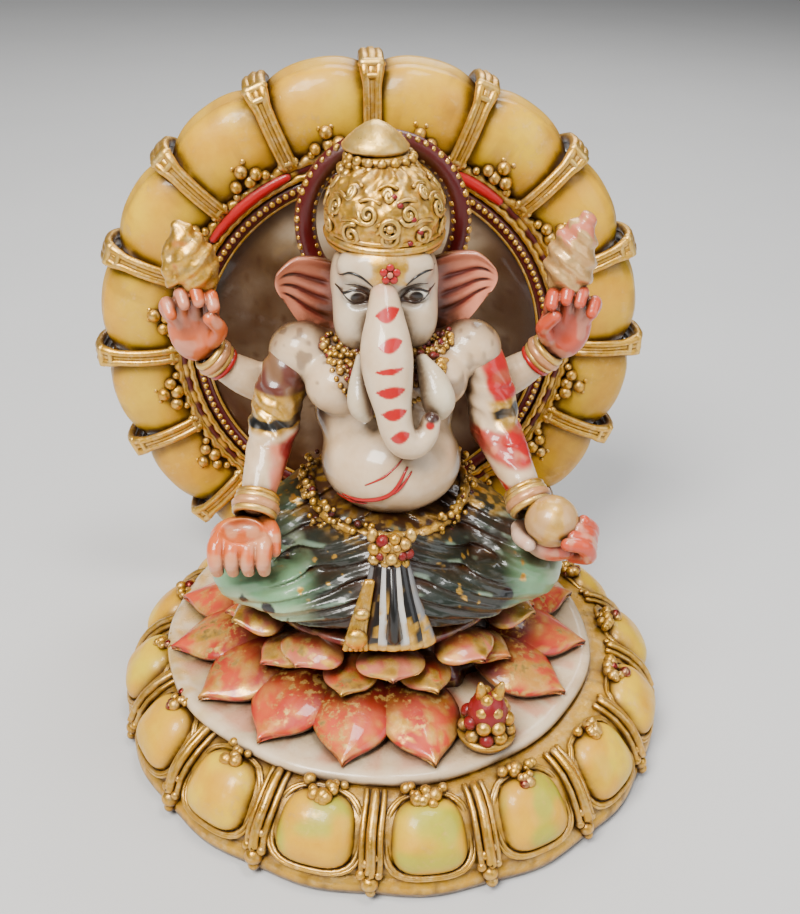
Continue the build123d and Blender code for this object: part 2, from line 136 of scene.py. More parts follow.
# ---------------------------------------------------------------- clay: signed distance modelling
class Clay:
    """A block of clay as a signed distance grid over a box."""

    def __init__(self, low, high, step):
        self.low = np.array(low, float)
        self.step = step
        axes = [np.arange(a, b + step, step, dtype=np.float32) for a, b in zip(low, high)]
        self.axes = axes
        self.d = np.full([len(a) for a in axes], 4.0, np.float32)

    def window(self, low, high, margin):
        """Index slices and coordinates of the part of the grid that a shape can reach."""
        spans = []
        for axis, a, b in zip(self.axes, low, high):
            i = int(np.searchsorted(axis, a - margin))
            j = int(np.searchsorted(axis, b + margin))
            spans.append(slice(max(i, 0), max(j, 1)))
        grid = np.meshgrid(*[axis[span] for axis, span in zip(self.axes, spans)], indexing="ij")
        return tuple(spans), np.stack(grid, -1)

    def blend(self, spans, d, soft, take=False):
        """Joins a shape to the clay, or takes it away, with a rounding of soft millimetres."""
        old = self.d[spans]
        if take:
            old = -old
        if soft > 0:
            h = np.clip(0.5 + 0.5 * (d - old) / soft, 0, 1)
            new = d * (1 - h) + old * h - soft * h * (1 - h)
        else:
            new = np.minimum(old, d)
        self.d[spans] = -new if take else new

    def ball(self, centre, radii, soft=0.8, turn=None, take=False):
        """An ellipsoid; turn is (axis, degrees)."""
        c = np.array(centre, np.float32)
        r = np.array(radii if np.ndim(radii) else [radii] * 3, np.float32)
        reach = r.max() if turn else r
        spans, p = self.window(c - reach, c + reach, 3 * soft + 1)
        p = p - c
        if turn:
            axis, degrees = turn
            p = p @ np.array(Matrix.Rotation(math.radians(degrees), 3, axis), np.float32)
        k0 = np.sqrt(((p / r) ** 2).sum(-1))
        k1 = np.sqrt(((p / r**2) ** 2).sum(-1)) + 1e-6
        self.blend(spans, k0 * (k0 - 1) / k1, soft, take)

    def limb(self, stations, soft=0.8, smooth=5, take=False):
        """A tapering round limb through (x, y, z, radius) stations."""
        s = spline(stations, smooth) if smooth else np.array(stations, float)
        s = s.astype(np.float32)
        low = (s[:, :3] - s[:, 3:]).min(0)
        high = (s[:, :3] + s[:, 3:]).max(0)
        spans, p = self.window(low, high, 3 * soft + 1)
        best = np.full(p.shape[:3], 9.0, np.float32)
        for a, b in zip(s, s[1:]):
            along = b[:3] - a[:3]
            t = np.clip(((p - a[:3]) @ along) / max(float(along @ along), 1e-6), 0, 1)
            gap = p - a[:3] - t[..., None] * along
            best = np.minimum(best, np.sqrt((gap**2).sum(-1)) - (a[3] + t * (b[3] - a[3])))
        self.blend(spans, best, soft, take)

    def front(self, x, z):
        """Depth of the surface at (x, z) as seen from the front, or None where there isn't any."""
        i = int(round((x - self.low[0]) / self.step))
        k = int(round((z - self.low[2]) / self.step))
        column = self.d[i, :, k]
        inside = int(np.argmax(column < 0))
        if inside == 0:
            return None
        before, after = column[inside - 1], column[inside]
        return float(self.axes[1][inside - 1] + self.step * before / (before - after))

    def shift(self, change):
        """Raises or lowers the surface by change(points), in millimetres outward."""
        spans, p = self.window([a[0] for a in self.axes], [a[-1] for a in self.axes], 0)
        near = np.abs(self.d[spans]) < 2.5
        block = self.d[spans]
        block[near] -= change(p[near]).astype(np.float32)
        self.d[spans] = block

    def skin(self):
        """The surface as (vertices, faces)."""
        grid = openvdb.FloatGrid(4.0)
        grid.copyFromArray(self.d)
        points, tris, quads = grid.convertToPolygons(isovalue=0.0, adaptivity=0.0)
        verts = points.astype(float) * self.step + self.low
        faces = [list(map(int, q)) for q in quads] + [list(map(int, t)) for t in tris]
        a, b, c = verts[quads[:, 0]], verts[quads[:, 1]], verts[quads[:, 2]]
        if np.einsum("ij,ij->i", a, np.cross(b, c)).sum() < 0:
            faces = [f[::-1] for f in faces]
        return verts, faces


# ---------------------------------------------------------------- meshes built from numbers
class Piece:
    """Vertices, faces and paint of one piece. Paint is RGB plus how golden the spot is."""

    def __init__(self):
        self.verts, self.faces, self.paint, self.count = [], [], [], 0

    def add(self, verts, faces, colour=GOLD, gold=0.0):
        """Adds a mesh in one colour and returns its paint, which dab() can brush over."""
        verts = np.asarray(verts, float)
        rgba = np.empty((len(verts), 4))
        rgba[:, :3] = colour
        rgba[:, 3] = gold
        self.faces += [[i + self.count for i in f] for f in faces]
        self.verts.append(verts)
        self.paint.append(rgba)
        self.count += len(verts)
        return rgba

    def gild(self, mesh):
        """Adds a mesh in bright gold paint."""
        return self.add(*mesh, GOLD, BRIGHT)

    def dab(self, rgba, mask, colour, gold=0.0):
        """Brushes a colour over a painted array by a mask from 0 to 1."""
        m = np.asarray(mask, float)[:, None]
        rgba[:] = rgba * (1 - m) + np.array([*colour, gold]) * m


def sheet_faces(rows, cols, wrap_rows=False, wrap_cols=False):
    """Quads of a grid of rows x cols vertices."""
    faces = []
    for i in range(rows if wrap_rows else rows - 1):
        for j in range(cols if wrap_cols else cols - 1):
            k = (i + 1) % rows
            m = (j + 1) % cols
            faces.append([i * cols + j, i * cols + m, k * cols + m, k * cols + j])
    return faces


def capped(rows, cols):
    """Faces of a closed tube of rows rings of cols vertices, with a flat cap at each end."""
    faces = sheet_faces(rows, cols, wrap_cols=True)
    faces.append(list(range(cols))[::-1])
    faces.append([(rows - 1) * cols + j for j in range(cols)])
    return faces


def tube(path, radius, sides=8, flat=1.0, closed=False):
    """A round tube along a path; radius may vary; flat squeezes it towards its own binormal."""
    p = np.array(path, float)[:, :3]
    r = np.broadcast_to(np.asarray(radius, float), (len(p),))
    ahead = np.roll(p, -1, 0) if closed else np.vstack([p[1:], 2 * p[-1] - p[-2]])
    behind = np.roll(p, 1, 0) if closed else np.vstack([2 * p[0] - p[1], p[:-1]])
    t = ahead - behind
    t /= np.linalg.norm(t, axis=1)[:, None] + 1e-9
    up = np.zeros_like(t)
    ref = np.array([0.0, 0.0, 1.0]) if abs(t[0, 2]) < 0.9 else np.array([0.0, 1.0, 0.0])
    for i in range(len(p)):
        ref = ref - t[i] * (ref @ t[i])
        ref /= np.linalg.norm(ref) + 1e-9
        up[i] = ref
    side = np.cross(t, up)
    a = np.arange(sides) / sides * TAU
    ring = up[:, None] * np.cos(a)[None, :, None] + flat * side[:, None] * np.sin(a)[None, :, None]
    verts = (p[:, None] + r[:, None, None] * ring).reshape(-1, 3)
    faces = sheet_faces(len(p), sides, wrap_rows=closed, wrap_cols=True)
    if not closed:
        base = len(verts)
        tips = np.array([p[0] - t[0] * r[0] * 0.6, p[-1] + t[-1] * r[-1] * 0.6])
        verts = np.vstack([verts, tips])
        last = (len(p) - 1) * sides
        for j in range(sides):
            faces.append([base, (j + 1) % sides, j])
            faces.append([base + 1, last + j, last + (j + 1) % sides])
    return verts, faces


def bead(centre, radii, rings=6, sides=10):
    """A small round bead."""
    r = np.array(radii if np.ndim(radii) else [radii] * 3, float)
    lat = np.linspace(0, math.pi, rings + 1)[1:-1]
    lon = np.arange(sides) / sides * TAU
    body = np.stack([np.outer(np.sin(lat), np.cos(lon)), np.outer(np.sin(lat), np.sin(lon)),
                     np.outer(np.cos(lat), np.ones(sides))], -1).reshape(-1, 3)
    verts = np.vstack([body, [0, 0, 1], [0, 0, -1]]) * r + np.array(centre, float)
    faces = [f[::-1] for f in sheet_faces(rings - 1, sides, wrap_cols=True)]
    top, bottom, last = len(verts) - 2, len(verts) - 1, (rings - 2) * sides
    for j in range(sides):
        faces.append([top, j, (j + 1) % sides])
        faces.append([bottom, last + (j + 1) % sides, last + j])
    return verts, faces


def lathe(profile, steps=128, centre=(0, 0)):
    """A profile of (radius, z), bottom to top on the outside, turned round a vertical axis and closed."""
    p = np.array(profile, float)
    a = np.arange(steps) / steps * TAU
    verts = np.stack([np.outer(p[:, 0], np.cos(a)) + centre[0], np.outer(p[:, 0], np.sin(a)) + centre[1],
                      np.outer(p[:, 1], np.ones(steps))], -1).reshape(-1, 3)
    return verts, capped(len(p), steps)


def turned(verts, degrees, centre=(0, 0)):
    """Vertices turned about a vertical axis; positive from the front towards +X."""
    a = math.radians(degrees)
    c = np.array([centre[0], centre[1], 0.0])
    return (verts - c) @ np.array([[math.cos(a), math.sin(a), 0], [-math.sin(a), math.cos(a), 0],
                                   [0, 0, 1]]) + c


def spiral(centre, radius, turns, start, points=16):
    """A flat spiral in its own (u, v) plane."""
    t = np.linspace(0, 1, points)
    r = radius * (1 - 0.85 * t)
    a = start + turns * TAU * t
    return np.stack([centre[0] + r * np.cos(a), centre[1] + r * np.sin(a)], -1)


# ---------------------------------------------------------------- materials
def painted(name, wash_shade_strength=1.0, shine=0.28, coat=0.5, flake=0.0, grain=0.12):
    """Enamel and gold paint over cast resin, with brown antiquing wash and painted shade in the hollows,
    and painted glints on the gold.
    """
    mat = bpy.data.materials.new(name)
    mat.use_nodes = True
    nodes, links = mat.node_tree.nodes, mat.node_tree.links
    shader = nodes["Principled BSDF"]

    def node(kind, **values):
        made = nodes.new(kind)
        for key, value in values.items():
            if key in made.inputs:
                made.inputs[key].default_value = value
            else:
                setattr(made, key, value)
        return made

    def feed(source, socket):
        """Links a node's output to a socket, or sets the socket to a plain value."""
        if hasattr(source, "is_output"):
            links.new(source, socket)
        else:
            socket.default_value = source

    def mix(factor, a, b, mode="MIX"):
        made = nodes.new("ShaderNodeMix")
        made.data_type = "RGBA"
        made.blend_type = mode
        for place, source in ((0, factor), (6, a), (7, b)):
            feed(source, made.inputs[place])
        return made.outputs[2]

    def maths(operation, a, b):
        made = nodes.new("ShaderNodeMath")
        made.operation = operation
        made.use_clamp = True
        feed(a, made.inputs[0])
        feed(b, made.inputs[1])
        return made.outputs[0]

    def spots(scale, low, high, detail=3.0):
        texture = node("ShaderNodeTexNoise", Scale=scale, Detail=detail, Roughness=0.6)
        links.new(where.outputs["Object"], texture.inputs["Vector"])
        curve = node("ShaderNodeMapRange")
        curve.inputs["From Min"].default_value = low
        curve.inputs["From Max"].default_value = high
        links.new(texture.outputs["Fac"], curve.inputs["Value"])
        return curve.outputs["Result"]

    where = nodes.new("ShaderNodeTexCoord")
    paint = node("ShaderNodeAttribute", attribute_name="Paint")
    gold, colour = paint.outputs["Alpha"], paint.outputs["Color"]
    if flake:
        specks = maths("MULTIPLY", spots(900, 0.5, 0.62), spots(170, 0.48, 0.62))
        gold = maths("ADD", gold, maths("MULTIPLY", specks, flake))
        colour = mix(gold, colour, (*GOLD, 1))
    colour = mix(maths("MULTIPLY", spots(260, 0.35, 0.7), 0.5), colour, (0.78, 0.62, 0.44, 1), "MULTIPLY")
    # painted glints: bright spots brushed into the gold's colour
    glint = maths("MULTIPLY", gold, spots(900, 0.45, 0.7))
    colour = mix(maths("MULTIPLY", glint, 0.55), colour, (1.0, 0.74, 0.34, 1))
    # brown antiquing wash and painted shade: umber laid into the hollows that ambient occlusion finds
    hollow = node("ShaderNodeAmbientOcclusion", samples=6, Distance=0.0050)
    deep = node("ShaderNodeMapRange")
    deep.inputs["From Min"].default_value = 0.90
    deep.inputs["From Max"].default_value = 0.45
    links.new(hollow.outputs["AO"], deep.inputs["Value"])
    wash_and_shade = maths("MULTIPLY", deep.outputs["Result"], maths("ADD", spots(330, 0.25, 0.75), 0.5))
    colour = mix(maths("MULTIPLY", wash_and_shade, min(wash_shade_strength, 1.0)), colour, (*UMBER, 1))
    links.new(colour, shader.inputs["Base Color"])
    metal = maths("MULTIPLY", gold, maths("SUBTRACT", 0.95, maths("MULTIPLY", wash_and_shade, 0.7)))
    links.new(metal, shader.inputs["Metallic"])
    rough = node("ShaderNodeMapRange")
    rough.inputs["To Min"].default_value = shine
    rough.inputs["To Max"].default_value = shine + 0.2
    links.new(spots(600, 0.3, 0.7), rough.inputs["Value"])
    links.new(rough.outputs["Result"], shader.inputs["Roughness"])
    for name, value in (("Coat Weight", coat), ("Coat Roughness", 0.06), ("Specular IOR Level", 0.4)):
        shader.inputs[name].default_value = value
    bump = node("ShaderNodeBump", Strength=0.45, Distance=grain * 0.001)
    streaks = node("ShaderNodeTexNoise", Scale=520, Detail=6, Roughness=0.65)
    links.new(where.outputs["Object"], streaks.inputs["Vector"])
    links.new(streaks.outputs["Fac"], bump.inputs["Height"])
    links.new(bump.outputs["Normal"], shader.inputs["Normal"])
    return mat


ENAMEL = painted("enamel_yellow", wash_shade_strength=0.95, shine=0.32, coat=0.22, flake=0.35)
GILT = painted("gilt", wash_shade_strength=0.95, shine=0.27, coat=0.2, grain=0.30)
BODY = painted("painted_body", wash_shade_strength=0.95, shine=0.28, coat=0.6)
PETAL = painted("painted_petals", wash_shade_strength=0.95, shine=0.28, coat=0.6, flake=0.9, grain=0.2)
PLATE = painted("cream_plate", wash_shade_strength=0.8, shine=0.22, coat=0.5)
FELT = painted("felt", wash_shade_strength=0.5, shine=0.8, coat=0.0)


def mesh_piece(piece, name, material, *cad_nodes):
    """Turns a piece into a smooth-shaded object that stands for its CAD nodes."""
    mesh = bpy.data.meshes.new(name)
    mesh.from_pydata((np.vstack(piece.verts) * 0.001).tolist(), [], piece.faces)
    mesh.validate()
    paint = mesh.attributes.new("Paint", "FLOAT_COLOR", "POINT")
    paint.data.foreach_set("color", np.vstack(piece.paint).astype(np.float32).ravel())
    mesh.polygons.foreach_set("use_smooth", [True] * len(mesh.polygons))
    mesh.materials.append(material)
    made = bpy.data.objects.new(name, mesh)
    bpy.context.scene.collection.objects.link(made)
    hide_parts(*cad_nodes)
    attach(made, "root")
    return made


# ---------------------------------------------------------------- base
LOBES = 16
PITCH = 360 / LOBES
BASE_HIGH = node_box("base_plinth")[1]
PLATE_HIGH = node_box("lotus_plate")[1]
BASE_X = float(node_box("felt_pad")[0][0] + node_box("felt_pad")[1][0]) / 2
DOME_TOP = float(BASE_HIGH[2])
BASE_PHASE = -7.6
DOME_PROFILE = [(40.6, 1.0), (41.2, 0.05), (43.6, 0.1), (44.7, 0.7), (45.0, 1.7), (44.8, 2.8), (44.0, 3.4),
                (43.6, 3.8), (43.8, 4.4), (43.4, 5.4), (42.6, 7.2), (41.3, 9.0), (39.4, 10.8), (37.4, 12.0),
                (35.6, 12.6), (30.0, DOME_TOP)]


def on_dome(rise):
    """(radius, z) on the base's dome for rise from 0 at the rim to 1 at the plate."""
    p = np.array(DOME_PROFILE[8:15])
    t = np.linspace(0, 1, len(p))
    return np.interp(rise, t, p[:, 0]), np.interp(rise, t, p[:, 1])


def on_base(points, turn):
    """Points made at the front of the base, turned round its axis."""
    return turned(points, turn) + np.array([BASE_X, 0, 0])


def build_felt():
    """Thin pad under the base."""
    felt = Piece()
    felt.add(*lathe([(40.2, 0.0), (40.8, 0.15), (40.9, 0.8), (40.2, 1.0)], 96, (BASE_X, 0)),
             (0.02, 0.05, 0.03))
    mesh_piece(felt, "felt_pad_disc", FELT, "felt_pad")


def build_plinth():
    """The domed block under everything, in worn gold over yellow."""
    plinth = Piece()
    verts, faces = lathe(DOME_PROFILE, 320, (BASE_X, 0))
    angle = np.degrees(np.arctan2(verts[:, 0] - BASE_X, -verts[:, 1])) - BASE_PHASE
    beat = np.cos(np.radians(angle * LOBES))
    radius = np.hypot(verts[:, 0] - BASE_X, verts[:, 1])
    swell = 1 + np.where(radius > 41, 0.006 * -beat, 0)
    verts[:, 0] = BASE_X + (verts[:, 0] - BASE_X) * swell
    verts[:, 1] *= swell
    rgba = plinth.add(verts, faces, GOLD, 0.75)
    worn = noise(verts, 2.6, 3)
    plinth.dab(rgba, ramp(worn, 0.45, 0.75) * 0.7, YELLOW, 0.2)
    plinth.dab(rgba, blot(verts, 1.3, 5, 0.6, 0.85) * 0.6, UMBER, 0.0)
    mesh_piece(plinth, "plinth_casting", GILT, "base_plinth")


def build_base_ring():
    """Cushions, frames, bead flowers, ribs and knobs round the dome."""
    cushions, frames, flowers = Piece(), Piece(), Piece()
    ribs, knobs = Piece(), Piece()
    tilt = math.radians(47)
    mid = np.array([0, -40.9, 8.8])
    along = np.array([0, math.cos(tilt), math.sin(tilt)])
    out = np.array([0, -math.sin(tilt), math.cos(tilt)])
    for k in range(LOBES):
        centre_turn = BASE_PHASE + PITCH * (k + 0.5)
        # cushion: a rounded square dome
        rows, cols = 14, 40
        rho = np.linspace(0.02, 1, rows)
        a = np.arange(cols) / cols * TAU
        wide, tall, high = 5.8 * RNG.uniform(0.97, 1.03), 5.6, 4.1 * RNG.uniform(0.93, 1.05)
        square = (np.abs(np.cos(a)) ** 2.9 + np.abs(np.sin(a)) ** 2.9) ** (-1 / 2.9)
        u = np.outer(rho, square * np.cos(a)) * wide
        v = np.outer(rho, square * np.sin(a)) * tall
        u = u * (1 - 0.10 * v / tall)
        w = high * np.sqrt(np.clip(1 - rho**2.6, 0, 1))[:, None] + np.zeros_like(u) - 1.2
        verts = mid + u[..., None] * np.array([1, 0, 0]) + v[..., None] * along + w[..., None] * out
        verts = verts.reshape(-1, 3)
        faces = [f[::-1] for f in sheet_faces(rows, cols, wrap_cols=True)] + [list(range(cols))]
        faces.append([(rows - 1) * cols + j for j in range(cols)][::-1])
        verts = on_base(verts, centre_turn)
        rgba = cushions.add(verts, faces, YELLOW)
        greenish = 0.8 if k in (0, 1, 15) else RNG.uniform(0, 0.3)
        cushions.dab(rgba, blot(verts, 4, 7, 0.35, 0.8), LEMON)
        cushions.dab(rgba, blot(verts, 3.5, 9, 0.4, 0.75) * greenish, LIME)
        edge = np.repeat(ramp(rho, 0.86, 1.0), cols)
        cushions.dab(rgba, edge * 0.8, GOLD, 0.8)
        # frame: two raised lines round the cushion
        for grow, thick in ((1.05, 0.40), (1.14, 0.32)):
            fu, fv = square * np.cos(a) * wide * grow, square * np.sin(a) * tall * (0.5 * grow + 0.5)
            fu = fu * (1 - 0.10 * fv / tall)
            fw = np.where(fv > 4.8, -0.5, 0.0)
            fw = fw - 0.010 * fu**2
            path = mid + fu[:, None] * np.array([1, 0, 0]) + fv[:, None] * along + (fw - 0.1)[:, None] * out
            path = on_base(path, centre_turn)
            frames.gild(tube(path, thick, 8, closed=True))
        # flower cluster spilling from under the plate
        for _ in range(13):
            r = RNG.uniform(36.0, 39.6)
            spread = RNG.uniform(-1, 1) * (40.2 - r) * 0.75
            z = np.interp(r, [35.6, 37.4, 39.6], [13.2, 13.7, 13.0]) + RNG.uniform(-0.2, 0.4)
            spot = on_base(np.array([[spread, -r, z]]), centre_turn)[0]
            flowers.add(*bead(spot, RNG.uniform(0.55, 1.1), 6, 9), GOLD if RNG.random() < 0.85 else CRIMSON,
                        0.9)
        # rib: three ridges up the dome
        rib_turn = BASE_PHASE + PITCH * k
        rise = np.linspace(-0.12, 1.02, 14)
        radius, z = on_dome(rise)
        for aside, lift, thick in ((-1.25, 0.5, 0.52), (0, 1.0, 0.75), (1.25, 0.5, 0.52)):
            wander = aside + 0.08 * np.sin(rise * 9 + k)
            path = np.stack([wander, -(radius + lift * 0.8), z + lift * 0.6], -1)
            path = on_base(path, rib_turn)
            ribs.gild(tube(path, thick * (1.1 - 0.25 * rise), 8))
        for across, r, z, size in ((0, 44.6, 3.3, 1.35), (-1.2, 44.2, 4.6, 0.85), (1.2, 44.3, 4.7, 0.8),
                                   (-0.6, 43.6, 6.2, 0.8), (0.7, 43.2, 7.0, 0.7), (0.2, 45.0, 1.9, 0.9)):
            spot = on_base(np.array([[across, -r, z]]), rib_turn)[0]
            knobs.gild(bead(spot, size * RNG.uniform(0.85, 1.1), 8, 12))
    mesh_piece(cushions, "cushion_castings", ENAMEL, "base_cushions")
    mesh_piece(frames, "frame_castings", GILT, "base_frames")
    mesh_piece(flowers, "flower_castings", GILT, "base_flowers")
    mesh_piece(ribs, "rib_castings", GILT, "base_ribs")
    mesh_piece(knobs, "knob_castings", GILT, "base_knobs")


# ---------------------------------------------------------------- lotus
PLATE_TOP = float(PLATE_HIGH[2])
SEAT_TOP = float(node_box("lotus_seat")[1][2])
BACK_FRONT = float(node_box("backrest_lobes")[0][1])


def petal(piece, turn, root, tip, width, z0, droop, lift, base, edge, gild, seed, thick=1.1):
    """One cupped, pointed petal from radius root to radius tip, falling by droop with its tip lifted."""
    rows, cols = 20, 15
    t = np.linspace(0, 1, rows)[:, None]
    s = np.linspace(-1, 1, cols)[None, :]
    half = 0.5 * width * (0.42 + 0.58 * np.sin(np.pi * np.clip(t * 0.95, 0, 1)) ** 0.8)
    half = half * np.clip((1 - t**5), 0.02, 1) ** 0.8
    r = root + (tip - root) * t * (1 - 0.06 * s**2)
    z = z0 - droop * t**1.2 + lift * ramp(t, 0.7, 1.0) + 1.5 * (1 - s**2) * np.sin(np.pi * t * 0.85 + 0.3)
    z = z + 0.3 * np.exp(-((s / 0.14) ** 2)) * (1 - t)
    x = half * s
    top = np.stack([x, -r + 0 * s, z + 0 * x], -1)
    thinning = (1 - 0.6 * np.abs(s) ** 3)[..., None]
    under = top - np.array([0, 0, thick]) * thinning * (1 - 0.5 * t**3)[..., None]
    grid = np.concatenate([top, under[:, ::-1]], 1)
    verts = turned(grid.reshape(-1, 3), turn)
    n = 2 * cols
    faces = capped(rows, n)
    verts[:, 1] = np.minimum(verts[:, 1], BACK_FRONT)
    rgba = piece.add(verts, faces, base)
    tt = np.repeat(t, n, 1).reshape(-1)
    ss = np.abs(np.concatenate([np.repeat(s, rows, 0), np.repeat(s[:, ::-1], rows, 0)], 1)).reshape(-1)
    piece.dab(rgba, ramp(ss, 0.55, 1.0) * 0.8, edge)
    piece.dab(rgba, blot(verts, 1.8, seed, 0.42, 0.7) * gild * ramp(tt, 0.15, 0.6), PALE_GOLD, 0.75)
    piece.dab(rgba, blot(verts, 2.5, seed + 1, 0.5, 0.8) * 0.7, RED)
    piece.dab(rgba, blot(verts, 1.1, seed + 2, 0.62, 0.8) * gild, GOLD, 0.9)
    # painted shade: near-black red towards the petal's root, in the gap between the rows
    piece.dab(rgba, ramp(tt, 0.68, 0.25) * 0.95, DARK_RED)


def build_plate():
    """Pale round plate, a little uneven at its edge."""
    plate = Piece()
    verts, faces = lathe([(30, 12.55), (34.3, 12.6), (35.0, 12.9), (35.3, 13.6), (35.1, 14.3), (34.4, 14.7),
                          (33.4, 14.75), (32.6, PLATE_TOP), (22, PLATE_TOP), (8, PLATE_TOP)], 200)
    angle = np.arctan2(verts[:, 0], -verts[:, 1])
    wave = 1 + 0.006 * np.sin(5 * angle + 1) + 0.004 * np.sin(11 * angle)
    verts[:, :2] *= wave[:, None]
    verts[:, 1] = np.minimum(verts[:, 1], BACK_FRONT)
    rgba = plate.add(verts, faces, CREAM)
    radius = np.hypot(verts[:, 0], verts[:, 1])
    plate.dab(rgba, blot(verts, 3, 21, 0.5, 0.8) * 0.35, BONE)
    plate.dab(rgba, blot(verts, 2.2, 23, 0.55, 0.75) * ramp(radius, 35.2, 31) * (verts[:, 1] < 0) * 0.6,
              CORAL)
    plate.dab(rgba, ramp(verts[:, 2], 13.4, 12.7) * 0.9, GOLD, 0.7)
    plate.dab(rgba, ramp(verts[:, 0], -24, -33) * blot(verts, 1.4, 29, 0.4, 0.7) * 0.7, PALE_GOLD, 0.6)
    mesh_piece(plate, "plate_casting", PLATE, "lotus_plate")


def build_core():
    """Dark core inside the petals; its near-black red is partly dark red paint and partly painted shade of
    the gap between the petal rows.
    """
    core = Piece()
    verts, faces = lathe([(19.5, PLATE_TOP - 0.3), (18.4, 16.2), (15.6, 18.6), (14.8, 20.6), (16.0, 22.6),
                          (17.2, 23.9)], 120)
    angle = np.arctan2(verts[:, 0], -verts[:, 1])
    verts[:, :2] *= (1 + 0.03 * np.sin(22 * angle))[:, None]
    rgba = core.add(verts, faces, DARK_RED)
    core.dab(rgba, blot(verts, 2, 31, 0.55, 0.85) * 0.8, CRIMSON)
    mesh_piece(core, "core_casting", PETAL, "lotus_core")


def build_seat():
    """Round seat on top of the core."""
    seat = Piece()
    verts, faces = lathe([(16.5, 23.7), (18.4, 24.2), (19.6, 25.2), (19.8, 26.0), (19.0, SEAT_TOP),
                          (10, SEAT_TOP)], 120)
    rgba = seat.add(verts, faces, CRIMSON)
    seat.dab(rgba, blot(verts, 2, 33, 0.4, 0.8) * 0.8, SALMON)
    seat.dab(rgba, blot(verts, 1.2, 35, 0.6, 0.8) * 0.7, GOLD, 0.8)
    mesh_piece(seat, "seat_casting", PETAL, "lotus_seat")


def build_petals():
    """Three rows of petals; the lower row leaves one place for the offering."""
    lower, middle, upper = Piece(), Piece(), Piece()
    for k in range(LOBES):
        if k == 2:
            continue
        petal(lower, -12 + PITCH * k, 18.0, 34.6 * RNG.uniform(0.985, 1.01), 12.6, 18.9, 3.6, 0.5, CORAL,
              RED,
              RNG.uniform(0.2, 0.75), 40 + k, thick=1.6)
    for k in range(11):
        petal(middle, -16 + 360 / 11 * k, 15.5, 25.6, 8.6, 21.0, 0.9, 0.7, CORAL, PINK, 0.9, 70 + k)
        petal(upper, 360 / 11 * k + 1, 17.5, 26.2, 10.6, 24.8, 1.0, 0.9, SALMON, PINK, 0.9, 90 + k)
    mesh_piece(lower, "lower_petal_castings", PETAL, "lower_petals")
    mesh_piece(middle, "middle_petal_castings", PETAL, "middle_petals")
    mesh_piece(upper, "upper_petal_castings", PETAL, "upper_petals")


def build_offering():
    """A dish with a heap of round sweets."""
    low, high = node_box("offering_dish")
    x, y = (low[:2] + high[:2]) / 2
    dish, sweets = Piece(), Piece()
    dish.add(*lathe([(3.0, low[2]), (3.8, low[2] + 0.4), (4.3, low[2] + 1.3), (4.4, high[2] + 0.1),
                     (3.4, high[2])], 40,
                    (x, y)), GOLD, 0.9)
    for level, ring, count, size in ((17.2, 3.2, 9, 1.15), (19.2, 2.9, 8, 1.15), (21.2, 1.9, 6, 1.1),
                                     (22.8, 1.0, 3, 1.0)):
        for j in range(count):
            a = TAU * (j + 0.5 * (size > 1.1)) / count + RNG.uniform(-0.1, 0.1)
            spot = (x + ring * math.cos(a), y + ring * math.sin(a), level + RNG.uniform(-0.2, 0.2))
            gilt = RNG.random() < 0.72
            sweets.add(*bead(spot, size, 8, 12), GOLD if gilt else CRIMSON, 0.95 if gilt else 0.0)
    sweets.add(*bead((x, y, 19.6), (3.1, 3.1, 4.0), 10, 16), CRIMSON)
    for dx in (-1.0, 1.1):
        sweets.add(*tube([(x + dx, y, 22.5), (x + dx * 1.3, y, 24.2), (x + dx * 1.5, y - 0.2, 25.6)],
                         [1.0, 0.8, 0.35]),
                   GOLD, 0.95)
    mesh_piece(dish, "offering_dish_casting", GILT, "offering_dish")
    mesh_piece(sweets, "offering_sweet_castings", GILT, "offering_sweets")


# ---------------------------------------------------------------- backrest
LOBE_LOW = node_box("backrest_lobes")[0]
DISH_HIGH = node_box("backrest_dish")[1]
BACK_Z = float(DISH_HIGH[2]) - 34.0
BACK_Y = float(LOBE_LOW[1]) + 0.6
LOBE_SECTION = [(34.3, -1.4), (34.8, -0.4), (36.4, 0.5), (39.2, 1.25), (42.0, 1.1), (44.4, 0.2),
                (45.9, -1.0), (46.5, -2.2), (46.1, -2.9), (46.3, -3.3), (47.0, -4.4), (47.1, -5.8),
                (46.2, -7.4), (44.0, -8.4), (40.0, -8.8), (34.6, -8.6), (34.2, -5.0)]


def ring_point(r, turn, depth):
    """A point on the backrest: radius, degrees clockwise from the top as seen in front, depth forward."""
    a = np.radians(turn)
    return np.stack([r * np.sin(a), BACK_Y - depth + 0 * a, BACK_Z + r * np.cos(a)], -1)


